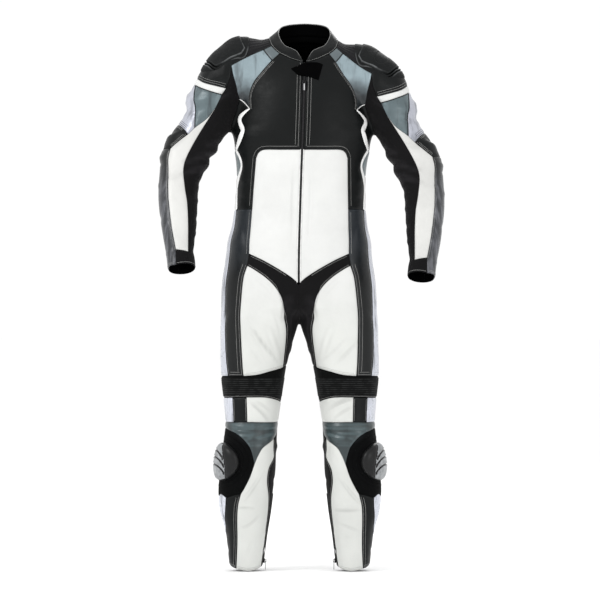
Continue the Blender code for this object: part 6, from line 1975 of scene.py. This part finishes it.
def puck_height(points, depth):
    """A knee puck: a domed D with curved wear grooves on its outer half."""
    rim, rise, square = PUCK
    share = 1 - np.clip(depth / 46.0, 0, 1)
    height = 3.0 + rim * (1 - np.exp(-depth / 2.2)) + rise * (1 - share**square) ** (1 / square)
    away, out = groove_at(points)
    ends = step_at(out, 1.5, 0.8) * (depth > 4)
    height -= 2.4 * ends * np.exp(-((away / 1.7) ** 2))
    height += 0.8 * ends * np.exp(-(((away - 4.0) / 2.0) ** 2))
    height -= 1.3 * np.exp(-((out / 1.6) ** 2)) * (depth > 2)
    return height, np.zeros(len(points))


def grey_half(points, depth):
    away, out = groove_at(points)
    return (out > 1.0) & (depth > 3.0) & ((away > 1.7) | (out < 2.5))


def make_pads():
    """The shoulder cups, the stitched ovals round the knee sliders, and the knee sliders."""
    ring = curve_through([place(spot) for spot in CUP_OUTLINE + CUP_OUTLINE[:1]], 2.2)[:-1]
    chart = Chart("shoulder_fan")
    domed("shoulder_cup", chart, ring, 1.9, cup_height, HARD, "shoulder_cup", lines=plate_lines(), ease=110)
    turn = np.linspace(0, 2 * math.pi, 150, endpoint=False)
    angle = np.radians(PUCK_CENTRE[0] + PUCK_SIZE[0] * np.cos(turn))
    ring = from_axis("leg", angle, PUCK_CENTRE[1] + PUCK_SIZE[1] * np.sin(turn))
    for which, size in (("inner", 1.18), ("outer", 1.38)):
        at = np.radians(PUCK_CENTRE[0] + size * PUCK_SIZE[0] * np.cos(turn))
        oval = from_axis("leg", at, PUCK_CENTRE[1] + size * PUCK_SIZE[1] * np.sin(turn))
        chart, flat = flat_outline("slider_base", SEAM_LINES)
        keep = from_ring(chart.flat(oval), flat) > 3.0
        start = int(np.argmin(keep))
        oval, keep = np.roll(oval, -start, axis=0), np.roll(keep, -start)
        runs = np.split(np.arange(len(keep)), np.flatnonzero(np.diff(keep)) + 1)
        runs = [oval[run] for run in runs if keep[run[0]] and len(run) > 4]
        for side in "RL":
            beads = [bead(run, side, 3.0, 1.4) for run in runs]
            joined(f"knee_pad_piping_{which}_{side}", beads, KNEE_PAD)
    paint = (PUCK_GREY, grey_half)
    chart = Chart("leg", PUCK_CENTRE[0])
    domed("slider_puck", chart, ring, 1.7, puck_height, PUCK_BLACK, "slider_puck", paint)


def steel_with_painted_highlight(name, middle, half):
    """Dark steel with a strip of bright steel down its middle, broken in patches: a painted highlight."""
    made, tree, shader = blank(name, 0.32, 0.9)
    vector = where(tree, (1, 1, 1))
    across = node(tree, "SeparateXYZ", {"Vector": vector}).outputs["X"]
    off = node(tree, "Math", {0: across, 1: middle}, operation="SUBTRACT").outputs[0]
    off = node(tree, "Math", {0: off}, operation="ABSOLUTE").outputs[0]
    highlight_breaks = spread(tree, cloudy(tree, vector, 700.0), 0.3, 0.7, 0.7, 1.0)
    near = spread(tree, off, half * 0.7, half, 1.0, 0.0)
    ridge = node(tree, "Math", {0: near, 1: highlight_breaks}, operation="MULTIPLY").outputs[0]
    tree.links.new(blended(tree, ridge, (0.03, 0.03, 0.032), (0.75, 0.75, 0.76)), shader.inputs["Base Color"])
    return made


def dress_solids():
    """Better finishes for the hard solids that stay."""
    pull = [v.co.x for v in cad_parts["zip_pull"].data.vertices]
    highlighted_pull_steel = steel_with_painted_highlight("pull_steel_painted_highlight", (min(pull) + max(pull)) / 2, 0.0016)
    looks = {"zip_slider": BLACK_STEEL, "zip_pull": highlighted_pull_steel, "zip_chain": TAPE}
    for side in "RL":
        looks[f"ankle_pull_{side}"] = DARK_STEEL
        looks[f"ankle_zip_{side}"] = TAPE
    for name, look in looks.items():
        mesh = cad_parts[name].data
        mesh.materials.clear()
        mesh.materials.append(look)


# ---- floor, light and camera -------------------------------------------------------------------------


def make_stage():
    bm = bmesh.new()
    bmesh.ops.create_grid(bm, x_segments=1, y_segments=1, size=60.0)
    mesh = bpy.data.meshes.new("floor")
    bm.to_mesh(mesh)
    bm.free()
    floor = bpy.data.objects.new("floor", mesh)
    floor.location.z = FLOOR
    bpy.context.scene.collection.objects.link(floor)
    made, _, shader = blank("pale_floor", 0.9)
    shader.inputs["Base Color"].default_value = (0.99, 0.99, 0.99, 1)
    mesh.materials.append(made)


def area_light(name, place_of, target, size, power):
    light = bpy.data.lights.new(name, "AREA")
    light.shape, light.size, light.energy = "SQUARE", size, power
    obj = bpy.data.objects.new(name, light)
    obj.location = place_of
    obj.rotation_euler = (Vector(target) - Vector(place_of)).to_track_quat("-Z", "Y").to_euler()
    bpy.context.scene.collection.objects.link(obj)


FLOOR = -1.4055
CAMERA = (-0.0054, -10.0, -0.675)
FRAME_WIDTH = 1.62  # what the camera takes in at the suit, in metres


def make_light_and_camera():
    world = bpy.data.worlds.new("studio")
    bpy.context.scene.world = world
    world.use_nodes = True
    world.node_tree.nodes["Background"].inputs["Color"].default_value = (1, 1, 1, 1)
    world.node_tree.nodes["Background"].inputs["Strength"].default_value = 1.02
    area_light("key", (-3.2, -2.4, 2.0), (0, 0, -0.6), 1.2, 70)
    area_light("fill", (2.4, -3.4, -0.2), (0, 0, -0.7), 1.6, 22)
    area_light("back", (0.6, 3.8, 1.9), (0, 0, -0.6), 1.8, 50)
    data = bpy.data.cameras.new("camera")
    data.sensor_width = 36.0
    data.lens = 36.0 * -CAMERA[1] / FRAME_WIDTH
    camera = bpy.data.objects.new("camera", data)
    camera.location = CAMERA
    camera.rotation_euler = (math.radians(90), 0, 0)
    bpy.context.scene.collection.objects.link(camera)
    bpy.context.scene.camera = camera
    bpy.context.scene.view_settings.view_transform = "Standard"


SEAM_LINES = make_seams()
for piece in PANELS:
    sew(piece, SEAM_LINES)
for piece in WHOLE_PANELS:
    sew_whole(piece, SEAM_LINES)
make_stripes(SEAM_LINES)
make_piping(SEAM_LINES)
make_stitching(SEAM_LINES)
make_collar(SEAM_LINES)
make_tab()
make_front_zip()
make_pads()
dress_solids()
make_stage()
make_light_and_camera()
